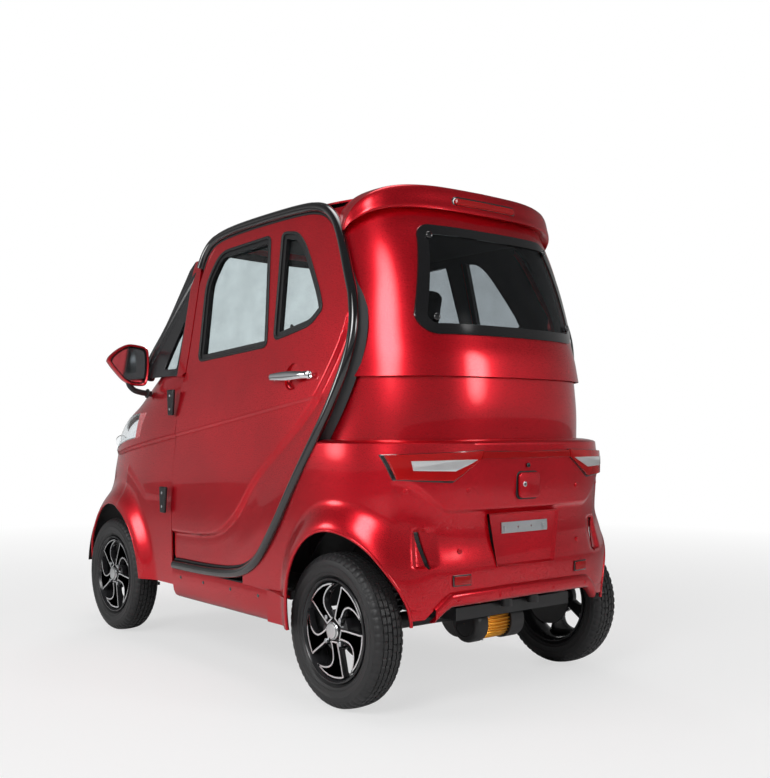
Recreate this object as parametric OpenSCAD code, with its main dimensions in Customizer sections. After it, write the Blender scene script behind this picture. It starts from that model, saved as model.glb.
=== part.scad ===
// Enclosed four-wheel mobility scooter with two doors, a rear body shell and a single front seat.
// Origin: centre of the bounding box on the ground. The nose faces -Y and the left side faces +X.

/* [Wheels] */
// Outer radius of a tyre
tyre_r = 234; // [220:1:245]
// Width of a tyre
tyre_w = 112; // [100:1:118]
// Height of a tyre's side over the rim
sidewall = 72; // [64:1:80]
// Distance of a wheel's middle plane from the centre line
wheel_x = 487; // [480:1:495]
// Rear axle's place along the vehicle
rear_axle_y = 820; // [800:1:830]
// Front axle's place along the vehicle
front_axle_y = -740; // [-750:1:-730]
// Spoke pairs in a rim
spoke_count = 5; // [4:1:6]
// Pitch circle of the wheel nuts
nut_pcd = 100; // [90:1:110]
// Bore radius of a wheel nut hole
nut_hole_r = 6; // [5:0.5:7]
// Running radius of a wheel spindle
spindle_r = 14; // [12:0.5:16]
// Radial clearance of a wheel on its spindle
spindle_gap = 0.05; // [0.03:0.01:0.1]
// Distance of a kingpin from the centre line
kingpin_x = 392; // [385:1:396]
// Radius of a kingpin
kingpin_r = 11; // [9:0.5:12]

/* [Body shell] */
// Thickness of a body panel with its lining
wall = 16; // [12:1:20]
// Height of the ledge above the tail lamps
ledge_z = 800; // [790:1:805]
// Height where the roof starts to close
eave_z = 1566; // [1562:1:1572]
// Rise of the roof's crown over the eave
roof_rise = 60; // [52:1:64]
// Clearance of the front wheel arch round its tyre
front_arch_gap = 56; // [52:1:58]
// Clearance of the rear wheel arch round its tyre
rear_arch_gap = 21; // [18:1:24]
// How far a wheel arch flare stands out
flare_out = 34; // [20:1:36]
// Bottom of the sills
sill_z = 214; // [205:1:225]
// Height of a sill
sill_h = 118; // [110:1:120]

/* [Doors] */
// Thickness of a door
door_t = 34; // [28:1:38]
// Radius of the tube around a door opening
tube_r = 16; // [13:0.5:17]
// Running gap between a door and the tube
door_gap = 9; // [7:0.5:11]
// Front edge of a door
door_front_y = -180; // [-184:1:-176]
// Hinge line outside the body side
hinge_x = 568; // [566:1:572]
// Radius of a hinge pin
hinge_pin_r = 4; // [3:0.5:5]
// Thickness of the side glass
glass_t = 5; // [4:0.5:6]

/* [Cabin] */
// Top of the floor
floor_z = 306; // [302:1:312]
// Width of the driver's seat
seat_w = 430; // [400:5:460]
// Front edge of the driver's seat cushion
seat_y = 40; // [30:5:60]
// Top of the driver's seat cushion
seat_z = 700; // [680:5:720]
// Radius of the steering wheel
steering_r = 165; // [150:1:172]

/* [Hidden] */
$fn = 48;

red = [0.72, 0.02, 0.06];
// Gap between two pieces that are seated on each other
seat_gap = 0.3;
rim_r = tyre_r - sidewall;
front_arch_r = tyre_r + front_arch_gap;
rear_arch_r = tyre_r + rear_arch_gap;

// Columns: height, half width of the body side at the doors
SIDE = [[190, 526], [345, 546], [470, 556], [600, 557], [720, 553], [800, 546], [900, 534],
    [1000, 520], [1130, 497], [1300, 470], [1450, 447], [1530, 434], [1580, 424], [1640, 410]];
function side_x(z) = lookup(z, SIDE);

// Path of the tube around the door opening, from its lower front end to its upper front end
TUBE = [[-165, 333], [60, 335], [239, 345], [355, 370], [446, 425], [544, 532], [630, 649],
    [728, 788], [809, 918], [860, 1040], [874, 1150], [852, 1250], [816, 1325], [748, 1460],
    [690, eave_z - 31], [610, eave_z + 10], [483, eave_z + 25], [210, eave_z + 26],
    [20, eave_z + 18], [-86, eave_z - 2], [-138, eave_z - 44], [-163, 1466]];

// Points of a smooth curve through a list of points
function curve_pt(p, i, t) = let(a = p[max(i - 1, 0)], b = p[i], c = p[i + 1],
    d = p[min(i + 2, len(p) - 1)])
    0.5 * (2 * b + t * (c - a) + t * t * (2 * a - 5 * b + 4 * c - d)
    + t * t * t * (3 * b - a - 3 * c + d));
function curve(p, steps) = concat(
    [for (i = [0 : len(p) - 2], s = [0 : steps - 1]) curve_pt(p, i, s / steps)], [p[len(p) - 1]]);

function unit(v) = v / norm(v);
function left_of(v) = [-v[1], v[0]];
// A flat path moved sideways
function shifted(p, d) = [for (i = [0 : len(p) - 1])
    let(a = p[max(i - 1, 0)], b = p[min(i + 1, len(p) - 1)]) p[i] + d * left_of(unit(b - a))];

// Place of the post in front of the doors, and height of the body's belt
post_y = -158;
belt_z = 1052;
tube_line = curve(TUBE, 2);
door_edge = shifted(tube_line, tube_r + door_gap);
door_outline = concat(
    [for (p = door_edge) if (p[0] > door_front_y + 30) p],
    [[post_y, 1400], [post_y, belt_z], [door_front_y, belt_z - 52], [door_front_y, 368],
    [door_front_y + 10, 358]]);

// Columns: point of the window outline, clockwise from its low front corner
FRONT_WINDOW = [[-76, 1096], [-104, 1374], [-92, 1420], [-27, 1513], [10, 1522], [290, 1527],
    [318, 1508], [392, 1142], [376, 1122]];
REAR_WINDOW_SIDE = [[433, 1142], [391, 1508], [406, 1526], [519, 1507], [590, 1420], [664, 1293],
    [692, 1231], [676, 1206], [634, 1178], [600, 1166]];

module side_prism(outline, depth = 700) {
    rotate([90, 0, 90]) linear_extrude(depth, center = true) polygon(outline);
}

// Slab that follows the body side between two depths under the skin
module side_band(out_d, in_d, y0, y1) {
    heights = [for (s = SIDE) s[0]];
    section = concat([for (z = heights) [side_x(z) - out_d, z]],
        [for (i = [len(heights) - 1 : -1 : 0]) [side_x(heights[i]) - in_d, heights[i]]]);
    translate([0, y1, 0]) rotate([90, 0, 0]) linear_extrude(y1 - y0) polygon(section);
}

module both_sides() {
    children();
    mirror([1, 0, 0]) children();
}

// A list of points in reverse order
function turned(p) = [for (i = [len(p) - 1 : -1 : 0]) p[i]];

// Closed solid between an outer and an inner grid of points, with rows that run upwards
module panel(outer, inner) {
    rows = len(outer);
    cols = len(outer[0]);
    count = rows * cols;
    function o(i, j) = i * cols + j;
    function q(i, j) = count + i * cols + j;
    skins = [for (i = [0 : rows - 2], j = [0 : cols - 2]) each
        [[o(i, j), o(i, j + 1), o(i + 1, j + 1)], [o(i, j), o(i + 1, j + 1), o(i + 1, j)],
        [q(i, j), q(i + 1, j + 1), q(i, j + 1)], [q(i, j), q(i + 1, j), q(i + 1, j + 1)]]];
    ends = [for (i = [0 : rows - 2]) each
        [[o(i, 0), o(i + 1, 0), q(i + 1, 0)], [o(i, 0), q(i + 1, 0), q(i, 0)],
        [o(i, cols - 1), q(i + 1, cols - 1), o(i + 1, cols - 1)],
        [o(i, cols - 1), q(i, cols - 1), q(i + 1, cols - 1)]]];
    rims = [for (j = [0 : cols - 2]) each
        [[o(0, j), q(0, j + 1), o(0, j + 1)], [o(0, j), q(0, j), q(0, j + 1)],
        [o(rows - 1, j), o(rows - 1, j + 1), q(rows - 1, j + 1)],
        [o(rows - 1, j), q(rows - 1, j + 1), q(rows - 1, j)]]];
    polyhedron(concat([for (r = outer) each r], [for (r = inner) each r]),
        concat(skins, ends, rims));
}

// Round bar along a path of 3-D points
module bar(path, r, sides = 8) {
    n = len(path);
    function along(i) = unit(path[min(i + 1, n - 1)] - path[max(i - 1, 0)]);
    function across(i) = let(a = along(i), up = abs(a[0]) < 0.8 ? [1, 0, 0] : [0, 0, 1])
        unit(cross(a, up));
    points = [for (i = [0 : n - 1], k = [0 : sides - 1])
        let(u = across(i), v = cross(along(i), u))
        path[i] + r * (cos(360 * k / sides) * u + sin(360 * k / sides) * v)];
    walls = [for (i = [0 : n - 2], k = [0 : sides - 1]) let(m = (k + 1) % sides) each
        [[i * sides + k, (i + 1) * sides + m, i * sides + m],
        [i * sides + k, (i + 1) * sides + k, (i + 1) * sides + m]]];
    caps = [[for (k = [0 : sides - 1]) k],
        [for (k = [sides - 1 : -1 : 0]) (n - 1) * sides + k]];
    polyhedron(points, concat(walls, caps));
}

// Body outline at one height: half width, reach from the middle, squareness of its corner.
// It starts at the side at y_start and runs round the end of the body to the other side.
function outline(z, w, reach, n, y_mid, y_start, steps) =
    let(dir = sign(reach), b = abs(reach), s = max(0, dir * (y_start - y_mid)) / b,
        a0 = asin(pow(s, n / 2)))
    [for (j = [-steps : steps]) let(a = a0 + (90 - a0) * (1 - abs(j) / steps),
        x = w * pow(max(0, cos(a)), 2 / n), y = y_mid + dir * b * pow(sin(a), 2 / n))
        [j < 0 ? -x : x, abs(j) == steps ? y_start : y, z]];

// Middles that the outlines of the tail and the nose are drawn round
tail_mid = 588;
nose_mid = -190;
// Middles of the front and the rear wheel arch
arch_z = [tyre_r + 11, tyre_r + 51];
arch_y = [front_axle_y + 35, rear_axle_y + 30];
// Length of each arch opening as a share of a round one
arch_share = [1, 0.84];

// How far the wheel arch flare lifts the skin at a point of the side
function flare(y, z, k, r) = let(d = norm([(y - arch_y[k]) / arch_share[k], z - arch_z[k]]) - r,
    s = min(1, max(0, 1 - d / 95))) flare_out * s * s * (3 - 2 * s);
function flared(p, k, r) = let(side = min(1, max(0, (abs(p[0]) - 300) / 180)),
    lift = flare(p[1], p[2], k, r) * side)
    [p[0] + sign(p[0]) * lift, p[1] + (k == 1 ? 1 : -1) * lift * 0.35 * (1 - side), p[2]];

// Columns: height, half width, rear reach, squareness, front edge of the panel
SHELL_ROWS = [[1005, 521, 524, 2.75, 871], [1075, 512, 512, 2.75, 886], [1141, 502, 492, 2.8, 890],
    [1235, 487, 468, 2.9, 876], [1330, 470, 440, 3.0, 832], [1420, 456, 404, 3.1, 786],
    [1500, 442, 362, 3.2, 745], [eave_z - 21, 431, 336, 3.3, 707], [eave_z, 424, 322, 3.3, 666]];
// Columns: height, half width, rear reach, squareness, front edge of the panel
BAND_ROWS = [[802, 512, 512, 2.8, 758], [902, 506, 516, 2.8, 820], [1004, 505, 508, 2.75, 868]];
// Seam between a sill and the tail, and rise of the tail's lower edge behind the wheels
sill_rear_y = rear_axle_y - tyre_r - 106;
tail_rise = 72;
// Columns: height, half width, rear reach, squareness, front edge, rise at the middle
CLIP_ROWS = [[800, 552, 542, 3.4, 757, 0], [740, 556, 541, 3.5, 716, 0],
    [660, 557, 538, 3.5, 659, 0], [580, 557, 530, 3.5, 603, 0], [500, 556, 527, 3.6, 541, 0],
    [430, 555, 533, 3.8, 478, 0], [370, 553, 531, 3.9, 404, 18], [332, 551, 528, 4.0, 330, 38],
    [316.5, 550, 527, 4.0, sill_rear_y + seat_gap, 46], [300, 549, 526, 4.0, sill_rear_y + seat_gap, 54],
    [sill_z, 546, 522, 4.0, sill_rear_y + seat_gap, 124]];

function rear_row(r, inset, steps) = outline(r[0], r[1] - inset, r[2] - inset, r[3], tail_mid,
    r[4], steps);
function clip_row(r, inset) = [for (p = rear_row(r, inset, 20))
    let(mid = 1 - min(1, max(0, (abs(p[0]) - 300) / 120)),
        behind = r[0] > sill_z ? 0 : tail_rise * min(1, max(0, (p[1] - 600) / 100)),
        z = p[2] + max(r[5] * mid, behind))
    flared([p[0], p[1], z], 1, rear_arch_r)];

module rear_shell() {
    color(red) difference() {
        panel([for (r = SHELL_ROWS) rear_row(r, 0, 14)], [for (r = SHELL_ROWS) rear_row(r, wall, 14)]);
        window_prism(0);
    }
}

// Rear window outline seen from behind
module window_prism(grow) {
    translate([0, 1200, 0]) rotate([90, 0, 0]) linear_extrude(500) polygon([
        for (c = [[292, 1195, 62, 0], [248, 1440, 52, 40], [-248, 1440, 52, 100], [-292, 1195, 62, 190]])
        for (a = [0 : 3]) let(t = c[3] + a * 28 - (c[1] < 1300 ? 60 : 0))
        [c[0] + (c[2] + grow) * cos(t), c[1] + (c[2] + grow) * sin(t)]]);
}

module rear_window() {
    color([0.08, 0.09, 0.1]) intersection() {
        panel([for (r = SHELL_ROWS) rear_row(r, wall - 9, 14)],
            [for (r = SHELL_ROWS) rear_row(r, wall - 4, 14)]);
        window_prism(-seat_gap);
    }
}

module belt_band() {
    color(red) panel([for (r = BAND_ROWS) rear_row(r, 0, 14)],
        [for (r = BAND_ROWS) rear_row(r, wall, 14)]);
}

// Trapezoid pocket for the number plate and round pocket for the charging socket
plate_z = [422, 585];
lid_y = 1130;
lid_z = 668;
lid_w = 92;
lid_h = 78;
lid_pin_r = 2;
module tail_cuts() {
    translate([0, 1300, 0]) rotate([90, 0, 0]) linear_extrude(1300 - 1112)
        polygon([[-128, plate_z[0]], [128, plate_z[0]], [158, plate_z[1]], [-158, plate_z[1]]]);
    translate([0, 1100, lid_z]) rotate([-90, 0, 0]) cylinder(r = 27, h = 60);
    for (s = [-1, 1]) translate([s * 386, 1060, 486]) rotate([0, s * 14, 0]) rotate([-90, 0, 0])
        translate([-11, -58, 0]) cube([22, 116, 80]);
}

// Half width of the space for the rear wheels inside the skin
well_x = wheel_x + tyre_w / 2 + 6;
module wheel_wells(k, r) {
    both_sides() translate([330, arch_y[k], arch_z[k]]) scale([1, arch_share[k], 1])
        rotate([0, 90, 0]) cylinder(r = r, h = 370);
}

module rear_clip() {
    ledge = rear_row([ledge_z + 10, 520, 516, 2.9, 758], 0, 20);
    color(red) difference() {
        panel(turned(concat([ledge], [for (r = CLIP_ROWS) clip_row(r, 0)])),
            turned(concat([[for (p = ledge) [p[0] * 0.985, p[1] - 6, p[2] - wall]]],
            [for (i = [0 : len(CLIP_ROWS) - 1]) let(drop = i == 0 ? wall + 4 : 0)
            [for (p = clip_row(CLIP_ROWS[i], wall)) p - [0, 0, drop]]])));
        wheel_wells(1, rear_arch_r);
        translate([-well_x, rear_axle_y, tyre_r]) rotate([0, 90, 0])
            cylinder(r = tyre_r + 10, h = 2 * well_x);
        tail_cuts();
    }
    color(red) lid_ears();
}

// Ears and pin that carry the charging lid
module lid_ears() {
    for (s = [-1, 1]) translate([s * (lid_w / 2 + 6) - 4, 1116, lid_z + lid_h / 2 - 6]) cube([8, 25, 12]);
    translate([-lid_w / 2 - 6, lid_y + 5, lid_z + lid_h / 2]) rotate([0, 90, 0])
        cylinder(r = lid_pin_r, h = lid_w + 12);
}

// Columns: point of the lamp outline seen from behind
LAMP = [[196, 778], [120, 774], [0, 772], [0, 752], [190, 754], [300, 692], [458, 696], [482, 768]];
module tail_lamps() {
    color([0.6, 0.02, 0.03]) both_sides() intersection() {
        panel(turned([for (r = CLIP_ROWS) rear_row(r, -9, 20)]),
            turned([for (r = CLIP_ROWS) rear_row(r, -0.6, 20)]));
        translate([0, 1250, 0]) rotate([90, 0, 0]) linear_extrude(500)
            polygon([for (p = LAMP) [-p[0], p[1]]]);
    }
}

// Plate bracket: height, and places of its holes
bracket_z = 539;
hole_x = [88, 30];
module plate_bracket() {
    color([0.6, 0.62, 0.64]) translate([0, 1112.3, bracket_z]) difference() {
        union() {
            translate([-103, 0, -17]) cube([206, 3, 34]);
            for (s = [-1, 1]) translate([s * hole_x[0] - 9, 0, -11]) cube([18, 9, 18]);
        }
        for (x = hole_x, s = [-1, 1]) translate([s * x, -12, 0]) rotate([-90, 0, 0])
            cylinder(r = 3.2, h = 60);
    }
}

module reflectors() {
    color([0.75, 0.05, 0.03]) for (s = [-1, 1])
        translate([s * 270, 1111.4, 392]) rotate([0, 0, -s * 7.5])
            translate([-30, 0, -14]) cube([60, 10, 28]);
}

// Beam inside the lower edge of the tail
beam_z = 318;
beam_w = 300;
beam_front_y = 1055;
module rear_valance() {
    row = CLIP_ROWS[len(CLIP_ROWS) - 1];
    reach = row[2] - wall - 3 * seat_gap;
    back = [for (p = outline(0, row[1], reach, row[3], tail_mid, 560, 20))
        if (abs(p[0]) < beam_w) [p[0], p[1]]];
    color(red) translate([0, 0, beam_z]) linear_extrude(32)
        polygon(concat(back, [[beam_w - 20, beam_front_y], [-beam_w + 20, beam_front_y]]));
}

// Two rings under the beam that take tie-down hooks
hook_x = 60;
eye_y = 1091;
eye_r = 18;
eye_bore_r = 7;
eye_h = 24;
module tow_eyes() {
    color([0.12, 0.12, 0.13]) for (s = [-1, 1])
        translate([s * hook_x, eye_y, beam_z - seat_gap - eye_h]) difference() {
            cylinder(r = eye_r, h = eye_h);
            translate([0, 0, -1]) cylinder(r = eye_bore_r, h = eye_h + 2);
        }
}

// Columns: height, half width, front reach, squareness
NOSE_ROWS = [[belt_z, 500, -402, 3.6], [1024, 506, -470, 3.4], [985, 514, -560, 3.2],
    [940, 522, -672, 3.0], [892, 530, -790, 3.0], [840, 538, -865, 3.0], [760, 546, -903, 3.1],
    [680, 550, -919, 3.2], [600, 551, -929, 3.3], [520, 551, -937, 3.9], [440, 549, -945, 4.5],
    [370, 547, -951, 5.0], [310, 544, -949, 5.2], [255, 540, -941, 5.2]];
function nose_row(r, inset) =
    [for (p = outline(r[0], r[1] - inset, r[2] + inset, r[3], nose_mid, nose_mid, 20))
    flared(p, 0, front_arch_r)];

// Opening of the air intake in the nose
grille_w = 440;
grille_h = 62;
grille_z = 470;
module front_body() {
    color(red) difference() {
        panel([for (r = NOSE_ROWS) nose_row(r, 0)], [for (r = NOSE_ROWS) nose_row(r, wall)]);
        wheel_wells(0, front_arch_r);
        translate([-grille_w / 2, -1200, grille_z]) cube([grille_w, 110, grille_h]);
    }
}

module front_bumper() {
    rows = [[255 - seat_gap, 540, -940, 5.2], [222, 530, -930, 5.2]];
    color([0.05, 0.05, 0.05]) difference() {
        panel([for (r = rows) outline(r[0], r[1], r[2], r[3], nose_mid, -960, 14)],
            [for (r = rows) outline(r[0], r[1] - wall, r[2] + wall, r[3], nose_mid, -960, 14)]);
        wheel_wells(0, front_arch_r + 14);
    }
}

// Columns: point of the headlamp outline seen from in front
HEADLAMP = [[250, 720], [300, 690], [420, 700], [480, 760], [505, 850], [470, 865], [330, 800],
    [262, 770]];
module headlamps() {
    color([0.85, 0.88, 0.9]) both_sides() intersection() {
        panel([for (r = NOSE_ROWS) nose_row(r, -8)], [for (r = NOSE_ROWS) nose_row(r, -0.3)]);
        translate([0, -1300, 0]) rotate([90, 0, 180]) linear_extrude(600, center = true)
            polygon(HEADLAMP);
    }
}

// Windscreen surface between the cowl and the header: s runs from side to side, t upwards
cowl = [-590, belt_z + 4];
header = [-168, eave_z - 6];
screen_w = 463.6;
screen_bow = 46;
function screen_pt(s, t, inset) = let(z = cowl[1] + (header[1] - cowl[1]) * t,
    w = screen_w - 30 * t - 60 * t * t,
    y = cowl[0] + (header[0] - cowl[0]) * t + screen_bow * s * s)
    [w * s, y + inset * 0.77, z - inset * 0.64];

// Rear edge of the small side glass in front of the door
quarter_y = -184;
module front_glass() {
    color([0.2, 0.25, 0.28]) {
        panel([for (i = [0 : 6]) [for (j = [-6 : 6]) screen_pt(j / 6, 0.985 - i * 0.16, 0)]],
            [for (i = [0 : 6]) [for (j = [-6 : 6]) screen_pt(j / 6, 0.985 - i * 0.16, glass_t)]]);
        both_sides() intersection() {
            side_band(14, 14 + glass_t, -600, 0);
            side_prism([[-514, belt_z + seat_gap], [quarter_y - seat_gap, 1449],
                [quarter_y - seat_gap, belt_z + seat_gap]], 1400);
        }
    }
}

module pillar_frame() {
    left = [for (t = [0 : 0.2 : 1]) screen_pt(1, t, 0) + [18, 6, 4 * t]];
    right = [for (t = [1 : -0.2 : 0]) screen_pt(-1, t, 0) + [-18, 6, 4 * t]];
    top = [for (s = [0.6 : -0.3 : -0.6]) screen_pt(s, 1, 0) + [0, -3.4, 9.2]];
    color(red) {
        bar(concat(left, top, right), 17, 8);
        both_sides() intersection() {
            side_band(1, 30, -300, 0);
            side_prism([[quarter_y, belt_z + seat_gap], [quarter_y, 1440], [post_y - 7, 1440],
                [post_y - 7, belt_z + seat_gap]], 1400);
        }
    }
}

// Columns: place along the vehicle, share of the roof's rise at the middle, half width of the roof
ROOF_ROWS = [[-150, 0.3, 398], [-60, 0.633, 410], [100, 0.9, 412.6], [300, 1, 412.8], [500, 1, 411],
    [650, 0.933, 404], [730, 0.833, 398], [795, 0.7, 388]];
// Height of the roof's side edge over the eave, and thickness of the roof there
roof_edge = 14;
roof_lip = 6;
function arched(middle_z, s) = middle_z - (middle_z - eave_z - roof_edge) * pow(abs(s), 3.2);
function roof_row(r, drop) = [for (j = [-8 : 8])
    let(s = j / 8, top = arched(eave_z + r[1] * roof_rise, s))
    [r[2] * s, r[0] + (r[0] < 0 ? screen_bow * s * s : 0),
    drop == 0 ? top : max(top - drop, eave_z + roof_edge - roof_lip)]];

module roof_panel() {
    color(red) panel(turned([for (r = ROOF_ROWS) roof_row(r, 0)]),
        turned([for (r = ROOF_ROWS) roof_row(r, wall)]));
}

// Points of the spoiler across the roof: s from side to side, k from its root to its lip.
// Outer points lie on the upper skin, and inner ones on the side that rests on the shell.
spoiler_y = 795.5;
spoiler_rise = 48;
spoiler_drop = 30;
function spoiler_top(s, k) = let(root = arched(eave_z + 0.7 * roof_rise, s),
    lip = eave_z + spoiler_rise - spoiler_drop * pow(abs(s), 3.4), t = k / 3)
    [(388 - 8 * t * t) * s, spoiler_y + (160 - 128 * s * s * s * s) * t,
    root + (lip - root) * sin(90 * t)];
function spoiler_base(s, k) = let(t = k / 3, p = spoiler_top(s, k), low = eave_z + seat_gap)
    [p[0], p[1] - (k == 3 ? 6 : 0), max(low, min(low + 8 * t * t, p[2] - 6))];
module spoiler() {
    color(red) panel(turned([for (k = [0 : 3]) [for (j = [-8 : 8]) spoiler_top(j / 8, k)]]),
        turned([for (k = [0 : 3]) [for (j = [-8 : 8]) spoiler_base(j / 8, k)]]));
}

// Third brake lamp, a bar that hangs under the spoiler behind the shell
brake_w = 272;
brake_d = 18;
brake_h = 16;
module brake_lamp() {
    color([0.6, 0.02, 0.03]) translate([-brake_w / 2, spoiler_y + 126.1, eave_z - brake_h])
        cube([brake_w, brake_d, brake_h - seat_gap]);
}

module door_tubes() {
    path = [for (p = tube_line) [side_x(p[1]) + 3, p[0], p[1]]];
    color([0.03, 0.03, 0.03]) both_sides() bar(path, tube_r, 8);
}

// Inner and outer face of a sill
sill_in = 440;
sill_out = 542;
module sills() {
    sill_front_y = nose_mid + seat_gap;
    color(red) both_sides() translate([0, sill_rear_y, 0]) rotate([90, 0, 0])
        linear_extrude(sill_rear_y - sill_front_y)
        polygon([[sill_in, sill_z], [sill_out - 26, sill_z], [sill_out - 10, sill_z + 18],
        [sill_out, sill_z + 90], [sill_out - 2, sill_z + sill_h - 18],
        [sill_out - 22, sill_z + sill_h - 17], [sill_in, sill_z + sill_h - 17]]);
}

module door_panel_left() {
    color(red) door_body();
}
module door_glass_left() {
    color([0.2, 0.25, 0.28]) door_glass();
}
module door_handle_left() {
    color([0.8, 0.8, 0.82]) door_handle();
}

// Hinges: place of the pin, height and radius of a barrel, heights of the two on a door
hinge_y = -196;
hinge_h = 36;
barrel_out = 9;
HINGE_Z = [575, 945];
module door_body() {
    difference() {
        intersection() {
            side_band(0, door_t, -300, 900);
            side_prism(door_outline, 1400);
        }
        side_prism(FRONT_WINDOW, 1400);
        side_prism(REAR_WINDOW_SIDE, 1400);
        translate([540, 560, 1012]) rotate([0, 90, 0]) cylinder(r = 42, h = 60, center = true);
    }
    for (z = HINGE_Z) translate([hinge_x, hinge_y, z]) difference() {
        union() {
            translate([0, 0, -hinge_h / 2]) cylinder(r = barrel_out, h = hinge_h);
            translate([-barrel_out, 0, -hinge_h / 2]) cube([2 * barrel_out, 40, hinge_h]);
            translate([side_x(z) - hinge_x - 6, 18, -hinge_h / 2])
                cube([hinge_x - side_x(z) + 6, 22, hinge_h]);
        }
        translate([0, 0, -hinge_h]) cylinder(r = hinge_pin_r + spindle_gap, h = 2 * hinge_h);
    }
}
module door_glass() {
    for (w = [FRONT_WINDOW, REAR_WINDOW_SIDE]) intersection() {
        side_band(14, 14 + glass_t, -300, 900);
        side_prism(shifted_loop(w, seat_gap), 1400);
    }
}
// A closed outline moved inwards
function shifted_loop(p, d) = let(n = len(p)) [for (i = [0 : n - 1])
    p[i] - d * left_of(unit(p[(i + 1) % n] - p[(i + n - 1) % n]))];

module door_handle() {
    translate([side_x(1018) + 18, 468, 1000]) cube([12, 222, 30]);
    for (y = [480, 655]) translate([side_x(1004) + seat_gap, y, 1004]) cube([20, 24, 22]);
}

// Fixed leaf, ears and pin of each door hinge
function nose_x(z) = lookup(z, [for (r = NOSE_ROWS) [r[0], r[1]]]);
module door_hinges() {
    ear = 15;
    color([0.04, 0.04, 0.04]) both_sides() for (z = HINGE_Z) translate([hinge_x, hinge_y, z]) {
        leaf_x = nose_x(z - hinge_h / 2 - ear) + 0.4 - hinge_x;
        translate([0, 0, -hinge_h / 2 - ear]) cylinder(r = hinge_pin_r, h = hinge_h + 2 * ear);
        translate([leaf_x, -76, -hinge_h / 2 - ear]) cube([8, 62, hinge_h + 2 * ear]);
        for (low = [hinge_h / 2 + 1, -hinge_h / 2 - ear]) translate([0, 0, low]) {
            cylinder(r = barrel_out, h = ear - 1);
            translate([leaf_x, -20, 0]) cube([barrel_out - leaf_x, 20, ear - 1]);
        }
    }
}

// Steering: tilt of the column, middle of the wheel, radius and length of the column
steering_tilt = 52;
steering_c = [0, -35, 925];
column_r = 24;
column_l = 260;
module along_column() {
    translate(steering_c) rotate([-steering_tilt, 0, 0]) children();
}

// Place of the wall in front of the cab, and width of the dashboard
fire_y = -452;
dash_w = 850;
// Columns: point of the dashboard's section, place along the vehicle and height
DASH = [[-508, 1030], [-250, 1046], [-214, 1012], [-204, 900], [-225, 770], [-300, 730],
    [fire_y + 12.3, 740], [fire_y + 12.3, 1000], [-508, 1000]];
module dashboard() {
    color([0.07, 0.07, 0.08]) difference() {
        union() {
            translate([-dash_w / 2, 0, 0]) rotate([90, 0, 90]) linear_extrude(dash_w) polygon(DASH);
            along_column() translate([0, 0, -column_l]) cylinder(r = column_r + 12, h = 130);
        }
        along_column() translate([0, 0, -column_l - 10]) cylinder(r = column_r / 2 + 0.05, h = column_l);
    }
}

module steering_wheel() {
    color([0.06, 0.06, 0.06]) along_column() {
        rotate_extrude() translate([steering_r, 0]) circle(r = 13);
        translate([0, 0, -22]) cylinder(r = 44, h = 36);
        for (a = [90, 210, 330]) rotate([0, 0, a]) translate([30, -13, -8]) cube([steering_r - 32, 26, 12]);
        translate([0, 0, -column_l + 20]) cylinder(r = column_r / 2, h = column_l - 20);
    }
}

// Upholstered block with round corners
module cushion(w, l, h, r) {
    linear_extrude(h) hull() for (x = [-1, 1], y = [-1, 1])
        translate([x * (w / 2 - r), y * (l / 2 - r)]) circle(r = r);
}

// Driver's seat: length and height of the cushion, height of the back
seat_l = 465;
seat_h = 105;
back_h = 560;
module seat_base() {
    color([0.05, 0.05, 0.05]) translate([0, seat_y + seat_l / 2, seat_z - seat_h])
        cushion(seat_w, seat_l, seat_h, 60);
}

module seat_back() {
    color([0.05, 0.05, 0.05]) translate([0, seat_y + seat_l - 100, seat_z + 2 * seat_gap])
        rotate([78, 0, 0]) {
            translate([0, back_h / 2 - 10, -95]) cushion(seat_w - 16, back_h - 60, 92, 70);
            for (x = [-50, 50])
                translate([x, back_h - 60, -50]) rotate([-90, 0, 0]) cylinder(r = 6, h = 60);
            translate([0, back_h + 42, -90]) cushion(250, 140, 80, 60);
        }
}

// Rear bench: front edge, length and top of its cushion, height of the shelf under it
rear_seat_y = 592;
rear_seat_l = 340;
rear_seat_w = 800;
rear_seat_z = 650;
shelf_z = 560;
module rear_seat_base() {
    color([0.05, 0.05, 0.05]) translate([0, rear_seat_y + rear_seat_l / 2, shelf_z + seat_gap])
        cushion(rear_seat_w, rear_seat_l, rear_seat_z - shelf_z, 60);
}

module rear_seat_back() {
    color([0.05, 0.05, 0.05])
        translate([0, rear_seat_y + rear_seat_l - 70, rear_seat_z + seat_gap + 11.6])
        rotate([80, 0, 0]) translate([0, 150, -66]) cushion(rear_seat_w - 180, 300, 60, 60);
}

// Frame: section and place of the two rails, thickness of the end plate, place of the spring towers
rail_z = 266;
rail_h = 38;
rail_w = 50;
rail_x = 230;
rail_y = [-960, 1070];
end_plate = 14;
tower_x = 318;
tower_z = 520;
module chassis_frame() {
    color([0.12, 0.12, 0.13]) {
        for (s = [-1, 1]) translate([s * rail_x - rail_w / 2, rail_y[0], rail_z])
            cube([rail_w, rail_y[1] - rail_y[0], rail_h]);
        for (y = [rail_y[0], -500, 60, 500]) translate([-rail_x, y, rail_z]) cube([2 * rail_x, 30, rail_h]);
        translate([-rail_x, rail_y[1] - end_plate, rail_z]) cube([2 * rail_x, end_plate, rail_h]);
        for (s = [-1, 1], y = [-300, 420])
            translate([s > 0 ? rail_x : -sill_in, y, rail_z + 4])
                cube([sill_in - rail_x, 40, rail_h - 8]);
        for (s = [-1, 1]) {
            for (y = [front_axle_y + 60, rear_axle_y + 60])
                translate([s * rail_x - 20, y, rail_z]) cube([40, 40, tower_z - rail_z + 20]);
            for (y = [front_axle_y - 20, rear_axle_y - 20])
                translate([s > 0 ? rail_x - 20 : -tower_x, y, tower_z])
                    cube([tower_x - rail_x + 20, 120, 20]);
        }
    }
}

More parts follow.
